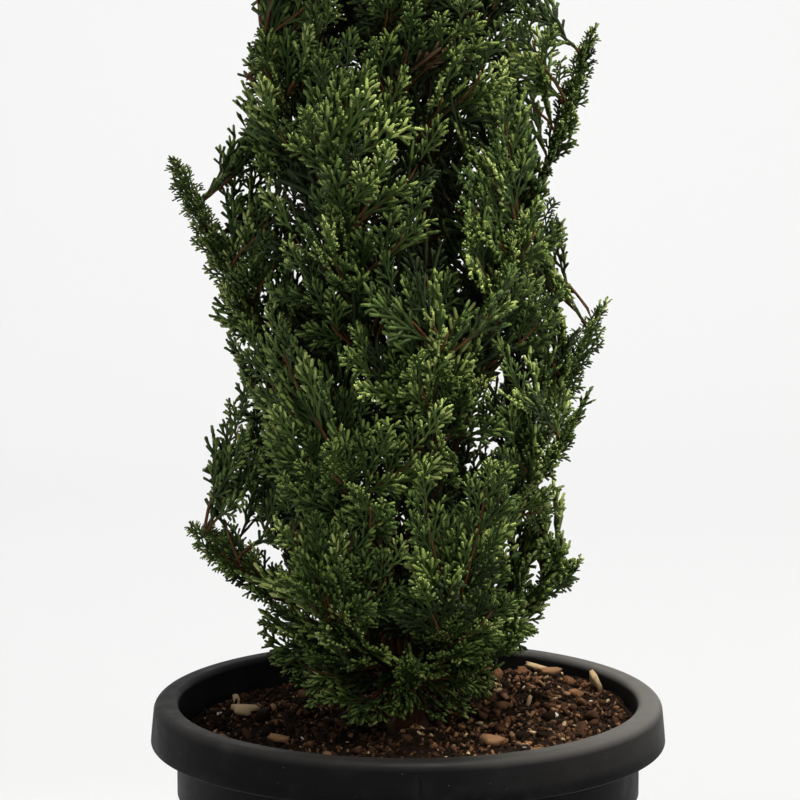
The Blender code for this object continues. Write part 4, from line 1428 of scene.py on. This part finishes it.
class FoliageSettings(bpy.types.PropertyGroup):
    branchlets: whole("Branchlets", "Branchlets on each limb's end", 6, 2, 60)
    outer_aims: whole("Outer", "Branchlets to the crown's side", 380, 0, 2000)
    inner_aims: whole("Inner", "Branchlets in its middle", 170, 0, 2000)
    forms: whole("Forms", "Patterns of spray of each kind", 8, 1, 24)
    groups: whole("Groups", "Most joined pieces of sprays", 10, 1, 28)


class StageSettings(bpy.types.PropertyGroup):
    key: measure("Key", "Power of the narrow key light", 1.2, unit="POWER")
    front: measure("Front", "Power of the broad light", 24.0, unit="POWER")
    fill: measure("Fill", "Power of the fill light", 4.0, unit="POWER")
    back: measure("Back", "Power of the backdrop's light", 4.6, unit="POWER")
    room: measure("Room", "Strength of the room's own light", 0.85)
    backdrop: tint("Backdrop", "Paint of the floor and backdrop", "#f0f0f0")


class CYPRESS_OT_stage(bpy.types.Operator):
    """Set up the sweep, the lights and the camera"""

    bl_idname = "cypress.stage"
    bl_label = "Stage"

    def execute(self, context):
        make_stage(context.scene.cypress_stage)
        return {"FINISHED"}


class CYPRESS_OT_pot(bpy.types.Operator):
    """Make the moulded pot with its folded rim, seams and drain holes"""

    bl_idname = "cypress.pot"
    bl_label = "Pot"

    def execute(self, context):
        make_pot(context.scene.cypress_pot)
        return {"FINISHED"}


class CYPRESS_OT_mix(bpy.types.Operator):
    """Make the potting mix's surface and the chips on it"""

    bl_idname = "cypress.mix"
    bl_label = "Potting Mix"

    def execute(self, context):
        make_mix(context.scene.cypress_mix)
        return {"FINISHED"}


class CYPRESS_OT_wood(bpy.types.Operator):
    """Make the barked trunk and boughs"""

    bl_idname = "cypress.wood"
    bl_label = "Trunk and Boughs"

    def execute(self, context):
        make_wood(context.scene.cypress_wood)
        return {"FINISHED"}


class CYPRESS_OT_foliage(bpy.types.Operator):
    """Grow the branchlets and the sprays of scale leaves"""

    bl_idname = "cypress.foliage"
    bl_label = "Foliage"

    def execute(self, context):
        make_foliage(context.scene.cypress_foliage)
        return {"FINISHED"}


class CYPRESS_PT_panel(bpy.types.Panel):
    bl_idname = "CYPRESS_PT_panel"
    bl_label = "Potted Cypress"
    bl_space_type = "VIEW_3D"
    bl_region_type = "UI"
    bl_category = "Cypress"

    def draw(self, context):
        for name in GROUPS:
            box = self.layout.box()
            group = getattr(context.scene, name)
            for setting in group.__annotations__:
                box.prop(group, setting)
            box.operator(name.replace("_", "."))


# Each group of settings, by the scene's name for it. The operator that reads it has a dot in that name.
GROUPS = {
    "cypress_stage": StageSettings,
    "cypress_pot": PotSettings,
    "cypress_mix": MixSettings,
    "cypress_wood": WoodSettings,
    "cypress_foliage": FoliageSettings,
}

CLASSES = (
    *GROUPS.values(),
    CYPRESS_OT_stage,
    CYPRESS_OT_pot,
    CYPRESS_OT_mix,
    CYPRESS_OT_wood,
    CYPRESS_OT_foliage,
    CYPRESS_PT_panel,
)


def register():
    for each in CLASSES:
        bpy.utils.register_class(each)
    for name, group in GROUPS.items():
        setattr(bpy.types.Scene, name, bpy.props.PointerProperty(type=group))


def unregister():
    for name in GROUPS:
        delattr(bpy.types.Scene, name)
    for each in reversed(CLASSES):
        bpy.utils.unregister_class(each)


def main():
    register()
    bpy.ops.cypress.stage()
    bpy.ops.cypress.pot()
    bpy.ops.cypress.mix()
    bpy.ops.cypress.wood()
    bpy.ops.cypress.foliage()


if __name__ == "__main__":
    main()
